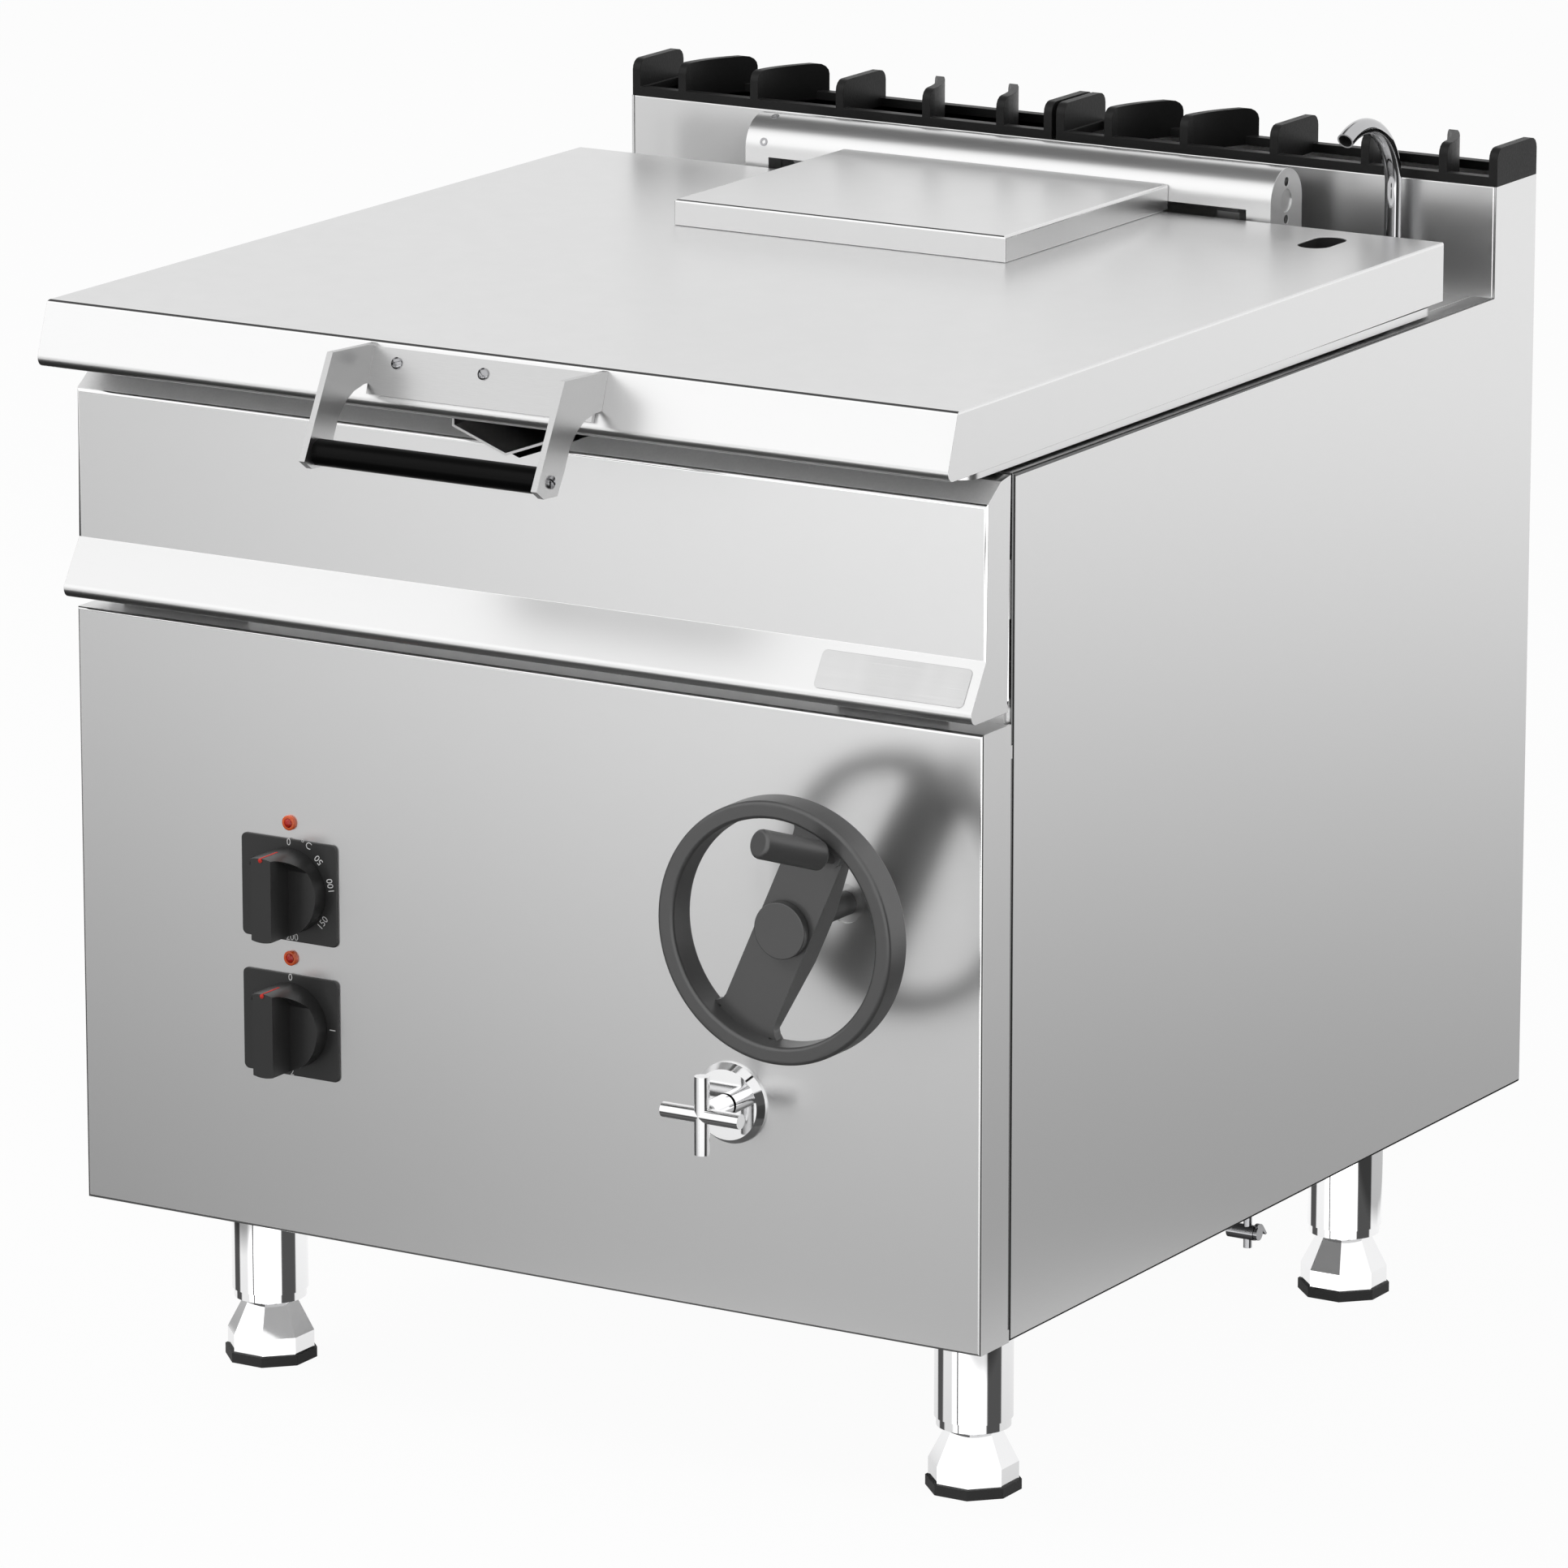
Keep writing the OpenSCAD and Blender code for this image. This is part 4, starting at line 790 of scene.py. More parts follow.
def copy_of(node, name, merge=0.004):
    """A copy of a solid, merged and with its flat faces made whole."""
    source = frame["nodes"][node]
    drop_selection()
    piece = bpy.data.objects.new(name, source.data.copy())
    bpy.context.scene.collection.objects.link(piece)
    with Editing(piece):
        bpy.ops.mesh.select_all(action="SELECT")
        bpy.ops.mesh.remove_doubles(threshold=merge * MM)
        bpy.ops.mesh.dissolve_limited(angle_limit=math.radians(1.0))
    return piece


# A bend of a sheet in millimetres: how far back it may lie, how long it is and how wide the faces
# beside it are, and then how sharply they meet
BEND_BACK = 815
BEND_LONG = 60
BEND_WIDE = 7
BEND_SHARP = math.radians(40)
BEND_STEPS = 4


def bend_edges(piece, radius):
    """Rounds the long outer bends of a sheet. The narrow faces at the ends of its flanges stay."""
    back = place(0, BEND_BACK, 0).y

    def is_bend(edge):
        if len(edge.link_faces) != 2 or not edge.is_convex or edge.verts[0].co.y > back:
            return False
        long = edge.calc_length()
        wide = min(face.calc_area() for face in edge.link_faces) > BEND_WIDE * MM * long
        return long > BEND_LONG * MM and wide and edge.calc_face_angle() > BEND_SHARP

    with Editing(piece, "EDGE") as edit:
        edit.pick(is_bend)
        bpy.ops.mesh.bevel(offset=radius, segments=BEND_STEPS, material=1, clamp_overlap=False)


def keep_within(piece, box):
    """Puts the few corners that rounding has pushed past the solid back on its limits."""
    low, high = box
    for vert in piece.data.vertices:
        for axis in range(3):
            vert.co[axis] = min(max(vert.co[axis], low[axis]), high[axis])


def folded(
    node, width, segments=3, angle=30, material=None, merge=0.004, shading=35, fold=None, bend=0
):
    """Stands for a sheet or casting, with its sharp edges rounded in a finish of their own."""
    piece = copy_of(node, node + "_dressed", merge)
    material = material or finish_of(node)
    piece.data.materials.clear()
    piece.data.materials.append(material)
    piece.data.materials.append(fold or material)
    if bend:
        bend_edges(piece, bend)
    round_edges(piece, width, segments, angle, 1)
    keep_within(piece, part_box(node))
    smooth(piece, shading)
    settle(piece, node_body[node], (node,))
    return piece


# The studio
KEY_SPOT, KEY_SIZE = (-2.6, -2.4, 4.2), (3.2, 2.4)
SIDE_SPOT, SIDE_SIZE = (4.6, 0.6, 2.2), (1.8, 2.6)
LAMP_AIM = (0, 0, 0.6)
SENSOR = 36
# How the floor looks in metal, by the distance from the middle in metres: where it brightens and
# along which curve, the bright ring round the feet, and the darker left front
FLOOR_WHITE = 0.96
FLOOR_BRIGHTENS = (1.2, 4.0)
FLOOR_CURVE = 1.3
BRIGHT_RING = (0.70, 0.82)
LEFT_SLANT = 0.6
LEFT_ENDS = (-0.6, 0.4)
LEFT_STARTS = (-0.2, 0.3)
LEFT_DARKER = 0.45


def looking(spot, aim):
    """The turn that points a camera or a lamp from one point at another."""
    return (aim - spot).to_track_quat("-Z", "Y").to_euler()


class BRATT_OT_studio(bpy.types.Operator):
    """Set up the camera, the floor, the lamps and the pale surroundings"""

    bl_idname = "bratt.studio"
    bl_label = "Studio"

    def execute(self, context):
        s = studio()
        target = Vector(s.target)
        level = math.cos(s.elevation)
        aim = Vector(
            (math.sin(s.azimuth) * level, -math.cos(s.azimuth) * level, math.sin(s.elevation))
        )
        eye = target + aim * s.distance
        drop_selection()
        bpy.ops.object.camera_add(location=eye, rotation=looking(eye, target))
        camera = context.object
        camera.name = "camera"
        camera.data.lens = s.lens
        camera.data.sensor_width = SENSOR
        camera.data.sensor_height = SENSOR
        camera.data.sensor_fit = "HORIZONTAL"
        camera.data.clip_end = 100
        context.scene.camera = camera
        context.scene.view_settings.view_transform = "Standard"

        drop_selection()
        bpy.ops.mesh.primitive_plane_add(size=s.floor_size, location=(0, 0, 0))
        floor = context.object
        floor.name = "floor"
        floor.data.materials.append(self.floor_paint())

        self.lamp("key_lamp", KEY_SPOT, KEY_SIZE, s.key)
        self.lamp("side_lamp", SIDE_SPOT, SIDE_SIZE, s.fill)
        self.surroundings(context)
        return {"FINISHED"}

    def lamp(self, name, spot, size, power):
        drop_selection()
        turn = looking(Vector(spot), Vector(LAMP_AIM))
        bpy.ops.object.light_add(type="AREA", location=spot, rotation=turn)
        lamp = bpy.context.object
        lamp.name = name
        lamp.data.shape = "RECTANGLE"
        lamp.data.size, lamp.data.size_y = size
        lamp.data.energy = power
        lamp.visible_glossy = False

    def floor_paint(self):
        """Paint that the camera sees as the white background, darker only in the object's shade."""
        s = studio()
        material = bpy.data.materials.new("floor_paint")
        material.use_nodes = True
        material.node_tree.nodes.clear()
        g = Graph(material.node_tree)
        ray = self.rays(g)
        coat = g.node("ShaderNodeBsdfDiffuse", {}, {"Color": paint(s.floor_colour)})
        glow = g.node("ShaderNodeEmission", {}, {"Color": WHITE, "Strength": 1.0})
        spot = g.node("ShaderNodeTexCoord", {}, {}, "Object")
        x, y = (g.node("ShaderNodeSeparateXYZ", {}, {0: spot}, axis) for axis in (0, 1))
        out_to = g.node("ShaderNodeVectorMath", {"operation": "LENGTH"}, {0: spot}, "Value")
        far = out_to.within(*FLOOR_BRIGHTENS) ** FLOOR_CURVE * (1 - s.near_floor) + s.near_floor
        left = (1 - (x - y * LEFT_SLANT).within(*LEFT_ENDS)) * (0 - y).within(*LEFT_STARTS)
        ring = 1 - out_to.within(*BRIGHT_RING)
        seen_by_metal = (far * (1 - left * LEFT_DARKER)).or_more(ring)
        clear = g.node("ShaderNodeBsdfTransparent", {}, {"Color": seen_by_metal})
        seen = ray["Is Camera Ray"] * FLOOR_WHITE + ray["Is Transmission Ray"] * FLOOR_WHITE
        mixed = g.mix(ray["Is Glossy Ray"], g.mix(seen, coat, glow), clear)
        g.node("ShaderNodeOutputMaterial", {}, {"Surface": mixed})
        return material

    def rays(self, g):
        kinds = ("Is Camera Ray", "Is Glossy Ray", "Is Transmission Ray")
        return {kind: g.node("ShaderNodeLightPath", {}, {}, kind) for kind in kinds}

    def surroundings(self, context):
        """White for the camera, soft light, and for metal white walls with dark cards."""
        s = studio()
        world = context.scene.world or bpy.data.worlds.new("studio")
        context.scene.world = world
        world.use_nodes = True
        world.node_tree.nodes.clear()
        g = Graph(world.node_tree)
        ray = self.rays(g)
        glow = self.reflected(g)
        soft, white, mirrored = (
            g.node("ShaderNodeBackground", {}, {"Color": WHITE, "Strength": strength})
            for strength in (s.sky, 1.0, glow)
        )
        seen = ray["Is Camera Ray"] + ray["Is Transmission Ray"]
        mixed = g.mix(ray["Is Glossy Ray"], g.mix(seen, soft, white), mirrored)
        g.node("ShaderNodeOutputWorld", {}, {"Surface": mixed})

    def reflected(self, g):
        """How bright metal sees the studio in each direction. Pairs are where an edge fades."""
        s = studio()
        way = g.node("ShaderNodeTexCoord", {}, {}, "Generated")
        x, y, z = (g.node("ShaderNodeSeparateXYZ", {}, {0: way}, axis) for axis in (0, 1, 2))
        front = (0 - y).within(0.20, 0.50) * (1 - z.within(-0.12, 0.0))
        evening = 1 + front * (x.within(-0.60, -0.46) * 0.90 - 0.02)
        below = 1 - z.within(-0.20, -0.05)
        level = below * (s.far_floor - s.horizon) + s.horizon
        walls = (z.within(-0.38, -0.27) * (level - s.dark_card) + s.dark_card) * evening
        upper_front = (0 - y).within(0.20, 0.60) * z.within(-0.05, 0.20) * s.front_card
        facing_front = x * 0.52 - y * 0.855
        near_card = facing_front.within(0.66, 0.69) * z.within(-0.62, -0.50) * s.horizon * 1.1
        near_edge = facing_front.within(0.585, 0.60) * (1 - facing_front.within(0.635, 0.65))
        right_card = (x * 0.998 + y * 0.052).within(0.855, 0.885)
        left_card = (0 - x * 0.995 - y * 0.10).within(0.915, 0.935)
        over_card = (0 - x).within(0.26, 0.40) * (1 - (0 - x).within(0.72, 0.86))
        over_card = over_card * y.within(-0.42, -0.28) * z.within(0.52, 0.66)
        cards = right_card.or_more(left_card).or_more(over_card)
        cards = cards.or_more(near_edge * (1 - z.within(0.2, 0.4)))
        glow = (walls + upper_front).or_more(near_card)
        return glow * (1 - cards) + cards * s.dark_card


# The solids that keep their shape
class BRATT_OT_solids(bpy.types.Operator):
    """Give every solid the finish of its material slot"""

    bl_idname = "bratt.solids"
    bl_label = "Solids"

    def execute(self, context):
        for name, solid in frame["nodes"].items():
            materials = solid.data.materials
            if not materials:
                materials.append(None)
            for index in range(len(materials)):
                materials[index] = finish_of(name)
        return {"FINISHED"}


# How wide the edges of other pieces are rounded, in millimetres
GRATE_EDGE = 1.6
FITTING_EDGE = 0.4
MOULDED_EDGE = 0.8
KNOB_EDGE = 0.5
# Corners closer together than this are merged on the moulded pieces
MOULDED_MERGE = 0.01
# The way that the slope above the nose faces, and how closely a face has to agree with it
SLOPE_FACES = (0, -0.58, 0.82)
SLOPE_AGREES = 0.98


class BRATT_OT_sheets(bpy.types.Operator):
    """Round the folds of the cabinet's and the lid's sheets"""

    bl_idname = "bratt.sheets"
    bl_label = "Sheets"

    def execute(self, context):
        fold = sheet().fold / MM
        sheets = {}
        for node in ("flue_upstand", "rear_deck", "back_panel", "base_tray"):
            sheets[node] = folded(node, fold, fold=fold_steel())
        for node in ("lower_front_panel", "upper_front_panel", "lid_shell", "lid_hinge_box"):
            sheets[node] = folded(node, fold, fold=fold_steel(), bend=sheet().bend)
        # The side panels' rounded edges get painted shadow instead of the drawn steel
        for node in ("side_panel_left", "side_panel_right"):
            sheets[node] = folded(node, fold, fold=painted_fold_shadow(), bend=sheet().bend)
        # The slope above the nose and the lid's underside lie in the lid's shade; a lighter matt
        # steel paints light on them
        self.lighten_matt(sheets["upper_front_panel"], facing(*SLOPE_FACES, SLOPE_AGREES))
        self.lighten_matt(sheets["lid_shell"], lambda face: face.normal.z < -0.9)
        for node in ("flue_grate_left", "flue_grate_right"):
            folded(node, GRATE_EDGE)
        for node in ("hinge_cover", "lid_handle_bracket"):
            folded(node, FITTING_EDGE, 2, fold=fold_steel())
        for node in ("handwheel", "crank_grip", "hub_cap"):
            folded(node, MOULDED_EDGE, 2, 40, merge=MOULDED_MERGE)
        return {"FINISHED"}

    def lighten_matt(self, piece, test):
        """Gives the faces that pass the test the matt finish, painted lighter as painted light."""
        piece.data.materials.append(matt_painted_light())
        with Editing(piece) as edit:
            edit.pick(test)
            bpy.context.object.active_material_index = len(piece.data.materials) - 1
            bpy.ops.object.material_slot_assign()


# Controls on the door, in millimetres
DIAL_X = -206
THERMOSTAT_Z = 422.7
SELECTOR_Z = 316.6
PLATE_HALF_WIDTH, PLATE_HALF_HEIGHT = 43.5, 40
PLATE_FRONT, PLATE_BACK = -45, -43
PLATE_CORNER = 4.6
PLATE_EDGE = 0.7
HOLE_RADIUS, HOLE_LENGTH = 8, 8
PRINT_FRONT = -45.02
PRINT_DEPTH = 0.06
PRINT_THINNED = -0.03
CAPITAL_SHARE = 0.7
DEGREE_SHARE = 0.62
# Each figure with its x, its z and its turn in degrees
FIGURES = (
    ("0", DIAL_X, 460.2, 0),
    ("C", -187.9, 459.6, -21),
    ("50", -178.7, 449.7, 134.7),
    ("100", -168.1, 430.9, 102.2),
    ("150", -175.7, 400.8, 54.1),
    ("200", -204, 386, 3),
    ("0", DIAL_X, 353.9, 0),
    ("1", -167.6, 317.6, 90),
    ("2", -205.5, 279.3, 0),
)
DEGREE_SIGN = ("o", -193.0, 463.2, -21)
POINTER_HALF_WIDTH = 0.9
POINTER_SPAN = (-83.0, -60.5)
POINTER_SUNK, POINTER_PROUD = 0.8, 0.25
POINTER_EDGE = 0.3
TIP_Y, TIP_DEPTH, TIP_RADIUS, TIP_LENGTH = -82.9, 1.5, 1.7, 2.0
LAMP_RISE = 52.4
RING_Y, RING_LENGTH = -44, 2
STEM_Y, STEM_RADIUS, STEM_LENGTH = -32.5, 4, 21
LENS_Y, LENS_RADIUS, LENS_LENGTH = -45.2, 3.3, 1.2
# How the lamps and the pointer's tip are crowned, in steps of (inset, rise)
TIP_CROWN = ((0.35, 0.3), (0.5, 0.2), (0.5, 0.08))
RING_CROWN = ((0.45, 0.45), (0.4, 0.15), (1.35, 0), (0.15, -1.1), (0.45, 0))
STEM_CROWN = ((0.5, 0.5), (1, 0.2))
LENS_CROWN = ((0.3, 0.25), (0.6, 0.3), (0.8, 0.2), (0.8, 0.06))


def crown(piece, direction, steps):
    """Raises a flat end face in steps of (inset, rise) in millimetres."""
    with Editing(piece) as edit:
        edit.pick(facing(*direction, 0.999))
        for inset, rise in steps:
            bpy.ops.mesh.inset(thickness=inset * MM, depth=rise * MM)


def turned(piece, matrix):
    """Puts a piece made at the origin in its place."""
    piece.matrix_world = matrix
    take(piece)
    bpy.ops.object.transform_apply(location=True, rotation=True, scale=True)


def printed(text, x, z, turn, size):
    """Printed figures on an upright plate, turned anticlockwise as seen from the front."""
    drop_selection()
    bpy.ops.object.text_add(location=(0, 0, 0))
    piece = bpy.context.object
    piece.data.body = text
    piece.data.align_x = "CENTER"
    piece.data.align_y = "CENTER"
    piece.data.size = size / CAPITAL_SHARE
    piece.data.extrude = PRINT_DEPTH * MM
    piece.data.offset = PRINT_THINNED * MM
    bpy.ops.object.convert(target="MESH")
    piece = bpy.context.object
    piece.name = "print_" + "".join(c if c.isalnum() else "c" for c in text)
    stand = Matrix.Rotation(math.pi / 2, 4, "X") @ Matrix.Rotation(math.radians(turn), 4, "Z")
    turned(piece, Matrix.Translation(place(x, PRINT_FRONT, z)) @ stand)
    return piece


class BRATT_OT_dials(bpy.types.Operator):
    """Make the dial plates with their figures"""

    bl_idname = "bratt.dials"
    bl_label = "Dials"

    def execute(self, context):
        plates = []
        for z in (THERMOSTAT_Z, SELECTOR_Z):
            low = (DIAL_X - PLATE_HALF_WIDTH, PLATE_FRONT, z - PLATE_HALF_HEIGHT)
            high = (DIAL_X + PLATE_HALF_WIDTH, PLATE_BACK, z + PLATE_HALF_HEIGHT)
            plate = new_block("dial_plate", low, high)
            with Editing(plate, "EDGE") as edit:
                edit.pick(lambda edge: along(edge, "y") > MM)
                bpy.ops.mesh.bevel(offset=PLATE_CORNER * MM, segments=7)
            front = place(0, PLATE_FRONT + 0.1, 0).y
            with Editing(plate, "EDGE") as edit:
                edit.pick(lambda edge: max(v.co.y for v in edge.verts) < front)
                bpy.ops.mesh.bevel(offset=PLATE_EDGE * MM, segments=3)
            middle = (DIAL_X, (PLATE_FRONT + PLATE_BACK) / 2, z)
            cut(plate, new_rod("spindle_hole", middle, HOLE_RADIUS, HOLE_LENGTH, "Y", 40))
            smooth(plate, 40)
            plates.append(plate)
        plates = join("dial_plates_dressed", plates)
        dress(plates, black_plastic(), "cabinet", ("dial_plates",))
        size = controls().figures
        words = [printed(*figure, size) for figure in FIGURES]
        words.append(printed(*DEGREE_SIGN, size * DEGREE_SHARE))
        dress(join("dial_figures", words), print_white(), "cabinet")
        return {"FINISHED"}


class BRATT_OT_knobs(bpy.types.Operator):
    """Round the two knobs and lay the ribbed red pointers on them"""

    bl_idname = "bratt.knobs"
    bl_label = "Knobs"

    def execute(self, context):
        for node, z in (("thermostat_knob", THERMOSTAT_Z), ("selector_knob", SELECTOR_Z)):
            folded(node, KNOB_EDGE, 2, 40, black_plastic(), shading=38)
            top = z + controls().knob / MM
            near, far = POINTER_SPAN
            low = (DIAL_X - POINTER_HALF_WIDTH, near, top - POINTER_SUNK)
            high = (DIAL_X + POINTER_HALF_WIDTH, far, top + POINTER_PROUD)
            strip = new_block("pointer_strip", low, high)
            with Editing(strip, "EDGE") as edit:
                edit.pick(lambda edge: min(v.co.z for v in edge.verts) > place(0, 0, top).z)
                bpy.ops.mesh.bevel(offset=POINTER_EDGE * MM, segments=2)
            spot = (DIAL_X, TIP_Y, top - TIP_DEPTH)
            tip = new_rod("pointer_tip", spot, TIP_RADIUS, TIP_LENGTH, "Y", 24)
            crown(tip, (0, -1, 0), TIP_CROWN)
            pointer = join(node + "_pointer", [strip, tip])
            smooth(pointer, 40)
            dress(pointer, pointer_red(), node_body[node])
        return {"FINISHED"}


class BRATT_OT_lamps(bpy.types.Operator):
    """Make the two lamps, each a ring round a sunk lens"""

    bl_idname = "bratt.lamps"
    bl_label = "Lamps"

    def execute(self, context):
        radius = controls().lamp / MM
        rings, lenses = [], []
        for z in (THERMOSTAT_Z + LAMP_RISE, SELECTOR_Z + LAMP_RISE):
            ring = new_rod("lamp_ring", (DIAL_X, RING_Y, z), radius, RING_LENGTH, "Y")
            crown(ring, (0, -1, 0), RING_CROWN)
            stem = new_rod("lamp_stem", (DIAL_X, STEM_Y, z), STEM_RADIUS, STEM_LENGTH, "Y", 32)
            crown(stem, (0, 1, 0), STEM_CROWN)
            rings += [ring, stem]
            lens = new_rod("lamp_lens", (DIAL_X, LENS_Y, z), LENS_RADIUS, LENS_LENGTH, "Y", 40)
            crown(lens, (0, -1, 0), LENS_CROWN)
            lenses.append(lens)
        kinds = (("lamp_rings", rings, lamp_ring), ("lamp_lenses", lenses, lamp_red))
        for name, pieces, material in kinds:
            piece = join(name, pieces)
            smooth(piece, 30)
            dress(piece, material(), "cabinet", ("indicator_lamps",))
        return {"FINISHED"}


# Screws and the bare plate, in millimetres
SCREW_HEIGHT = 2.5
SCREW_SIDE_SHARE = 0.45
SLOT_SHARE = 0.17
# How a screw's head is domed, in shares of its radius and of its height above the side
HEAD_CROWN = ((0.12, 0.42), (0.2, 0.3), (0.25, 0.18), (0.2, 0.1))
SLOT_DEPTH_SHARE = 0.8
SOCKET_RADIUS = 3.4
SOCKET_SHARE = 0.52
# The length and the middle's height of the socket screw's head and of the hexagon cut into it
SOCKET_HEAD = (1.6, -0.5)
SOCKET_KEY = (2.4, 0.6)
SOCKET_CROWN = ((0.16, 0.12), (0.10, -0.1))
# The three screws through the lid's front, with x and the turn of the slot, and their slope
FRONT_SCREW_Y, FRONT_SCREW_Z = -85.9, 851.3
FRONT_SCREWS = ((-76, 20), (0, -35), (76, 8))
FRONT_SLOPE = (0, -0.9464, 0.3232)
# The two screws that hold the grip, with the side and the turn of the slot
GRIP_SCREW = (103.5, -157, 795)
GRIP_SCREWS = ((-1, 30), (1, -40))
GRIP_SCREW_WIDER, GRIP_SCREW_HEIGHT = 0.4, 2.8
# The hinge cover's screws sit on a circle about the hinge
COVER_SCREW_X = -225
COVER_Y, COVER_Z = 703, 877.5
COVER_RADIUS = 26.05
COVER_SCREW_ANGLES = (15, 74)
COVER_SCREW_ROLL = 12
# The badge's place on the nose, and the way that the nose faces there
BADGE_PLACE = (328.8, -50.16, 655)
BADGE_THICKNESS = 0.9
BADGE_CORNER = 4
BADGE_EDGE = 0.3
BADGE_LIFT = 0.42
NOSE_FACES = (0, -0.852, 0.523)


def slotted_screw(name, radius, height):
    """A domed head at the origin with its axis up and a slot across it."""
    side = height * SCREW_SIDE_SHARE
    piece = short_rod(name, 40, radius, side, side / 2)
    rise = height - side
    crown(piece, (0, 0, 1), [(radius * inset, rise * lift) for inset, lift in HEAD_CROWN])
    slot = radius * SLOT_SHARE
    with Editing(piece):
        for way in (-1, 1):
            bpy.ops.mesh.select_all(action="SELECT")
            bpy.ops.mesh.bisect(plane_co=(0, way * slot * MM, 0), plane_no=(0, 1, 0))
    with Editing(piece) as edit:
        inside = slot * MM * 0.98
        edit.pick(lambda face: abs(face.calc_center_median().y) < inside and face.normal.z > 0.2)
        depth = (0, 0, -rise * SLOT_DEPTH_SHARE * MM)
        bpy.ops.mesh.extrude_region_move(TRANSFORM_OT_translate={"value": depth})
    smooth(piece, 32)
    return piece


def socket_screw(name, radius):
    """A low round head at the origin with a hexagon socket, its axis up."""
    piece = short_rod(name, 36, radius, *SOCKET_HEAD)
    crown(piece, (0, 0, 1), [(radius * inset, lift) for inset, lift in SOCKET_CROWN])
    cut(piece, short_rod("socket_key", 6, radius * SOCKET_SHARE, *SOCKET_KEY))
    smooth(piece, 30)
    return piece


def copied(piece, matrix):
    """A copy of a piece with its own mesh, put in its place."""
    twin = piece.copy()
    twin.data = piece.data.copy()
    bpy.context.scene.collection.objects.link(twin)
    turned(twin, matrix)
    return twin


def upright(direction, roll=0.0):
    """Turns Z towards a direction."""
    turn = Vector(direction).to_track_quat("Z", "Y").to_matrix().to_4x4()
    return turn @ Matrix.Rotation(math.radians(roll), 4, "Z")


class BRATT_OT_screws(bpy.types.Operator):
    """Make the slotted screws of the handle and the sunk screws of the hinge cover"""

    bl_idname = "bratt.screws"
    bl_label = "Screws"

    def execute(self, context):
        radius = sheet().screw / MM
        pattern = slotted_screw("screw_pattern", radius, SCREW_HEIGHT)
        heads = []
        for x, roll in FRONT_SCREWS:
            spot = Matrix.Translation(place(x, FRONT_SCREW_Y, FRONT_SCREW_Z))
            heads.append(copied(pattern, spot @ upright(FRONT_SLOPE, roll)))
        wide = slotted_screw("grip_screw_pattern", radius + GRIP_SCREW_WIDER, GRIP_SCREW_HEIGHT)
        x, y, z = GRIP_SCREW
        for side, roll in GRIP_SCREWS:
            spot = Matrix.Translation(place(side * x, y, z))
            heads.append(copied(wide, spot @ upright((side, 0, 0), roll)))
        discard(pattern)
        discard(wide)
        heads = join("handle_screws_dressed", heads)
        body, slot = node_body["handle_screws"], node_slot["handle_screws"]
        dress(heads, dark_chrome(), body, ("handle_screws",))
        sunk = socket_screw("socket_pattern", SOCKET_RADIUS)
        sinks = []
        for angle in COVER_SCREW_ANGLES:
            turn = math.radians(angle)
            out = Vector((0, -math.cos(turn), math.sin(turn)))
            spot = place(COVER_SCREW_X, COVER_Y, COVER_Z) + out * COVER_RADIUS * MM
            sinks.append(copied(sunk, Matrix.Translation(spot) @ upright(out, COVER_SCREW_ROLL)))
        discard(sunk)
        sinks = join("cover_screws", sinks)
        dress(sinks, dark_chrome(), node_body["hinge_cover"])
        return {"FINISHED"}


class BRATT_OT_badge(bpy.types.Operator):
    """Make the bare brushed plate on the fascia's nose"""

    bl_idname = "bratt.badge"
    bl_label = "Badge"

    def execute(self, context):
        drop_selection()
        bpy.ops.mesh.primitive_cube_add(size=1)
        plate = context.object
        plate.name = "badge_plate"
        plate.scale = (sheet().badge_width, sheet().badge_height, BADGE_THICKNESS * MM)
        bpy.ops.object.transform_apply(location=True, rotation=True, scale=True)
        with Editing(plate, "EDGE") as edit:
            edit.pick(lambda edge: along(edge, "z") > 0.5 * MM)
            bpy.ops.mesh.bevel(offset=BADGE_CORNER * MM, segments=7)
        with Editing(plate, "EDGE") as edit:
            edit.pick(lambda edge: min(v.co.z for v in edge.verts) > 0.4 * MM)
            bpy.ops.mesh.bevel(offset=BADGE_EDGE * MM, segments=2)
        smooth(plate, 40)
        out = Vector(NOSE_FACES)
        right = Vector((1, 0, 0))
        stand = Matrix((right, out.cross(right), out)).transposed().to_4x4()
        spot = place(*BADGE_PLACE) + out * BADGE_LIFT * MM
        turned(plate, Matrix.Translation(spot) @ stand)
        dress(plate, badge_steel(), node_body["upper_front_panel"])
        return {"FINISHED"}


# The tap's slot and mouth and the vents, in millimetres
SLOT_X, SLOT_Z = 318.5, 849.5
SLOT_FRONT, SLOT_BACK = 143.9, 93.9
SLEEVE_RADIUS, SLEEVE_SET_IN, SLEEVE_LENGTH, SLEEVE_WALL = 13.1, 13.5, 30, 0.35
TAP_X = 318
TAP_BEND = 55.2
TAP_BEND_Z = 890.8
TAP_END_ANGLE = 118.7
CUP_RADIUS, CUP_LENGTH, CUP_SUNK, CUP_WALL = 5.48, 7.4, 4.1, 0.3
VENTS = ((-382, -267), (256, 350))
VENT_SHADE_MARGIN = 3
VENT_SHADE_Y, VENT_SHADE_Z = (-3.9, -3.1), (618.5, 631.5)
VENT_SHADE_CORNER = 2


def tap_depth():
    """How far back the tap stands from the front edge of the cabinet."""
    low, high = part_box("tap_base")
    return (low[1] + high[1]) / 2 / MM + SETBACK


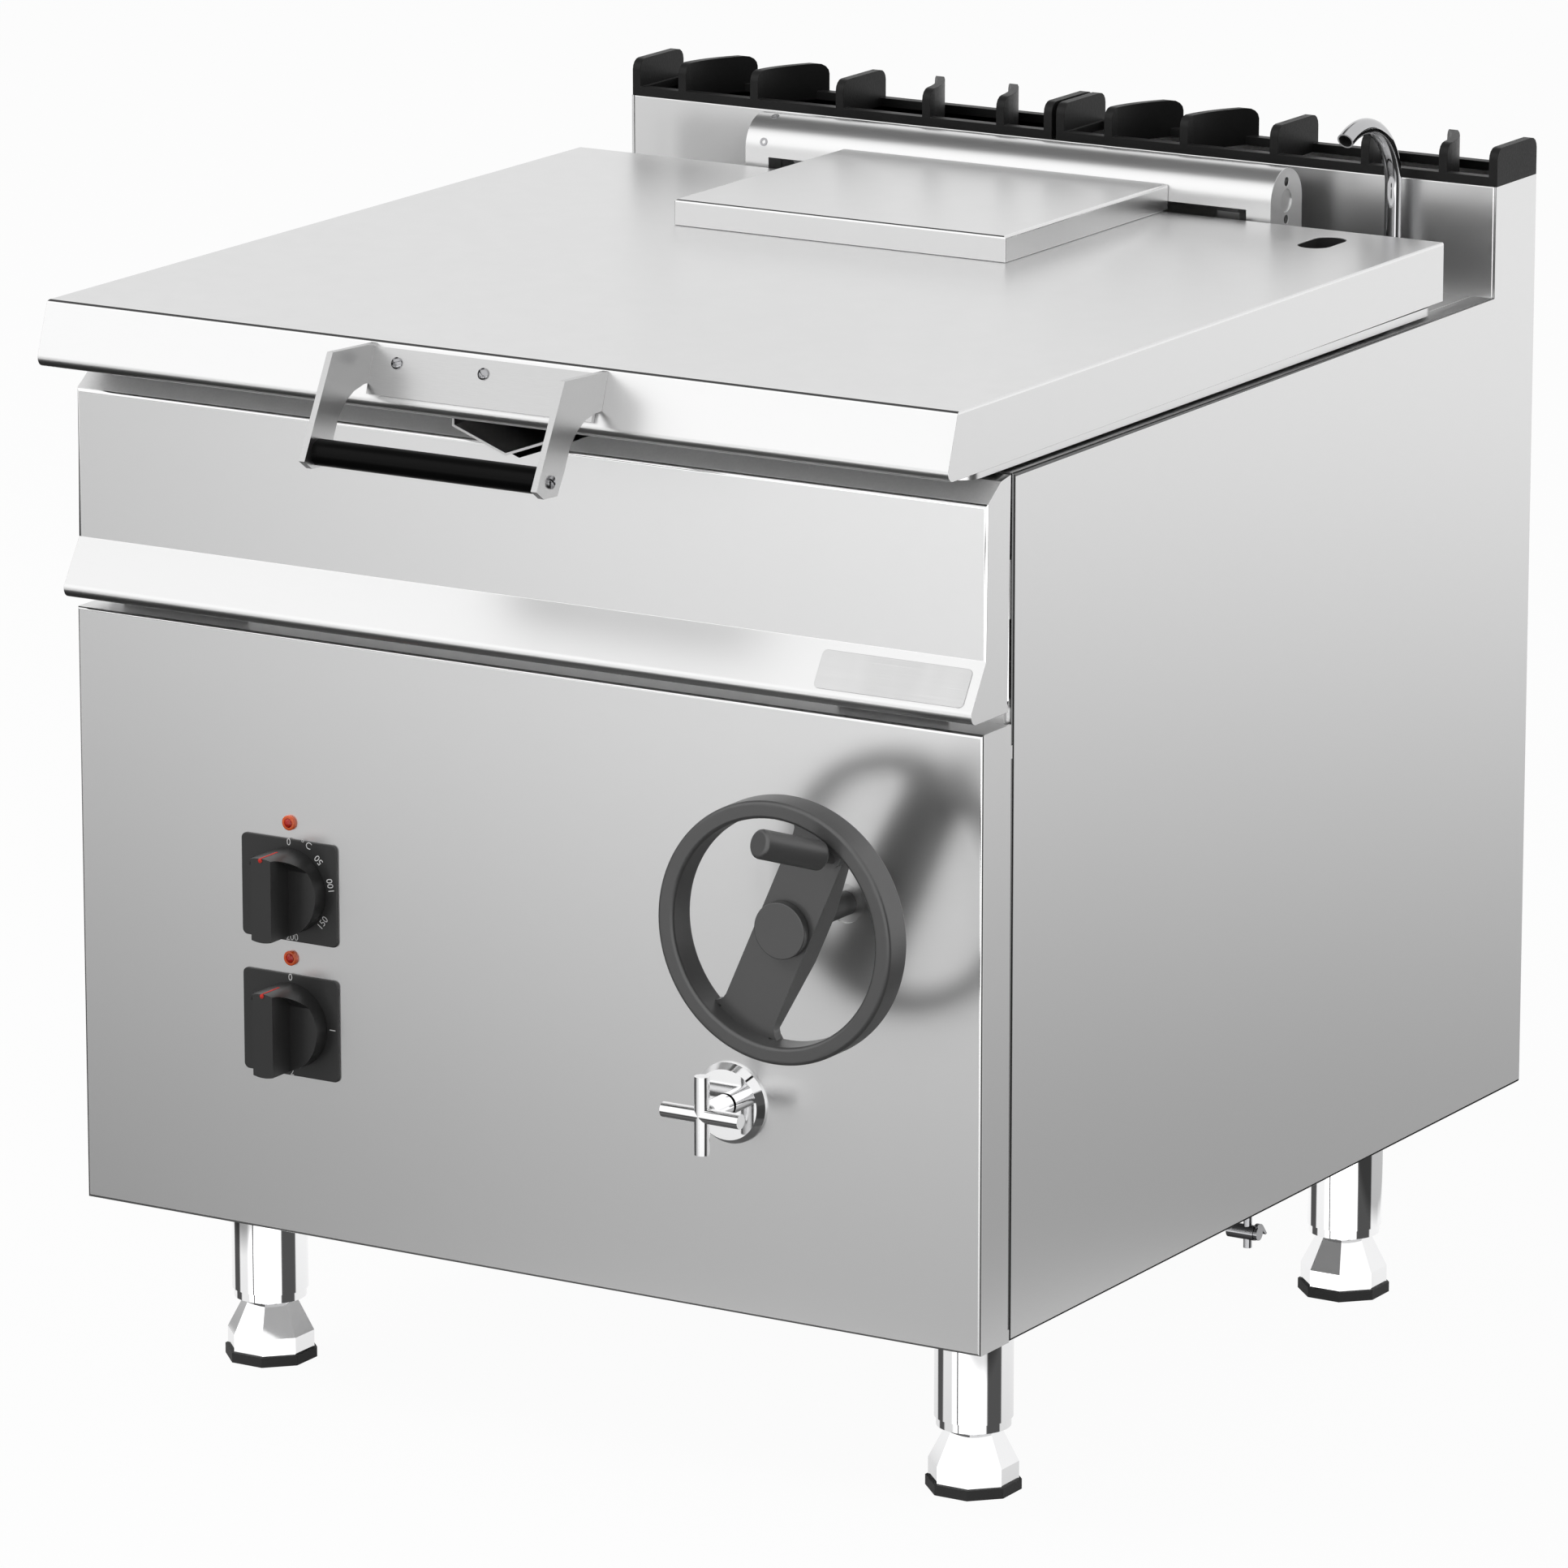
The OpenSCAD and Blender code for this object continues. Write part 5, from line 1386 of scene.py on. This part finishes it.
class BRATT_OT_lid_slot(bpy.types.Operator):
    """Line the slot that the tap passes through with a dark sleeve: painted shade inside the slot
    """

    bl_idname = "bratt.lid_slot"
    bl_label = "Lid slot"

    def execute(self, context):
        front, back = tap_depth() - SLOT_FRONT, tap_depth() - SLOT_BACK
        centre = front + SLEEVE_SET_IN
        sleeve = new_rod("slot_shade_sleeve", (SLOT_X, centre, SLOT_Z), SLEEVE_RADIUS, SLEEVE_LENGTH)
        with Editing(sleeve, "VERT") as edit:
            middle = place(0, centre, 0).y
            edit.pick(lambda vert: vert.co.y > middle + 0.01 * MM)
            longer = (back - front - 2 * SLEEVE_SET_IN) * MM
            bpy.ops.transform.translate(value=(0, longer, 0))
        with Editing(sleeve) as edit:
            edit.pick(lambda face: abs(face.normal.z) > 0.99)
            bpy.ops.mesh.delete(type="FACE")
        apply_modifier(sleeve, "SOLIDIFY", thickness=SLEEVE_WALL * MM, offset=-1)
        smooth(sleeve, 30)
        dress(sleeve, painted_gap_shade(), node_body["lid_shell"])
        return {"FINISHED"}


class BRATT_OT_tap_mouth(bpy.types.Operator):
    """Line the tap's mouth with a dark cup: painted shade inside the mouth"""

    bl_idname = "bratt.tap_mouth"
    bl_label = "Tap mouth"

    def execute(self, context):
        turn = math.radians(TAP_END_ANGLE)
        out = Vector((0, -math.sin(turn), math.cos(turn)))
        y = tap_depth() - TAP_BEND + TAP_BEND * math.cos(turn)
        middle = place(TAP_X, y, TAP_BEND_Z + TAP_BEND * math.sin(turn))
        cup = short_rod("tap_mouth_shade_cup", 40, CUP_RADIUS, CUP_LENGTH, -CUP_SUNK)
        with Editing(cup) as edit:
            edit.pick(facing(0, 0, 1))
            bpy.ops.mesh.delete(type="FACE")
        apply_modifier(cup, "SOLIDIFY", thickness=CUP_WALL * MM, offset=-1)
        smooth(cup, 30)
        turned(cup, Matrix.Translation(middle) @ upright(out))
        dress(cup, painted_gap_shade(), node_body["swan_neck_tap"])
        return {"FINISHED"}


class BRATT_OT_vents(bpy.types.Operator):
    """Put a dark sheet behind the vent slots above the door: painted shade in the openings"""

    bl_idname = "bratt.vents"
    bl_label = "Vents"

    def execute(self, context):
        (front, back), (bottom, top) = VENT_SHADE_Y, VENT_SHADE_Z
        shade_sheets = []
        for left, right in VENTS:
            low = (left - VENT_SHADE_MARGIN, front, bottom)
            shade_sheet = new_block("vent_shade_sheet", low, (right + VENT_SHADE_MARGIN, back, top))
            with Editing(shade_sheet, "EDGE") as edit:
                edit.pick(lambda edge: along(edge, "y") > 0.5 * MM)
                bpy.ops.mesh.bevel(offset=VENT_SHADE_CORNER * MM, segments=4)
            smooth(shade_sheet, 40)
            shade_sheets.append(shade_sheet)
        shade_sheets = join("vent_shade_sheets", shade_sheets)
        dress(shade_sheets, painted_gap_shade(), node_body["vent_channel"])
        return {"FINISHED"}


steps = (
    BRATT_OT_studio,
    BRATT_OT_solids,
    BRATT_OT_sheets,
    BRATT_OT_dials,
    BRATT_OT_knobs,
    BRATT_OT_lamps,
    BRATT_OT_screws,
    BRATT_OT_badge,
    BRATT_OT_lid_slot,
    BRATT_OT_tap_mouth,
    BRATT_OT_vents,
)


class BRATT_PT_panel(bpy.types.Panel):
    """Lists the steps and their sizes"""

    bl_idname = "BRATT_PT_panel"
    bl_label = "Bratt pan"
    bl_space_type = "VIEW_3D"
    bl_region_type = "UI"
    bl_category = "Bratt pan"

    def draw(self, context):
        scene = context.scene
        for group in (scene.pan_studio, scene.pan_sheet, scene.pan_controls):
            box = self.layout.box()
            for name in group.bl_rna.properties.keys():
                if name not in ("rna_type", "name"):
                    box.prop(group, name)
        for step in steps:
            self.layout.operator(step.bl_idname)


groups = (PanStudio, PanSheet, PanControls)


def register():
    for one in groups + steps + (BRATT_PT_panel,):
        bpy.utils.register_class(one)
    bpy.types.Scene.pan_studio = bpy.props.PointerProperty(type=PanStudio)
    bpy.types.Scene.pan_sheet = bpy.props.PointerProperty(type=PanSheet)
    bpy.types.Scene.pan_controls = bpy.props.PointerProperty(type=PanControls)


def unregister():
    del bpy.types.Scene.pan_controls
    del bpy.types.Scene.pan_sheet
    del bpy.types.Scene.pan_studio
    for one in reversed(groups + steps + (BRATT_PT_panel,)):
        bpy.utils.unregister_class(one)


def main():
    register()
    for step in steps:
        family, action = step.bl_idname.split(".")
        if getattr(getattr(bpy.ops, family), action)() != {"FINISHED"}:
            raise RuntimeError(step.bl_label + " did not finish")


if __name__ == "__main__":
    main()
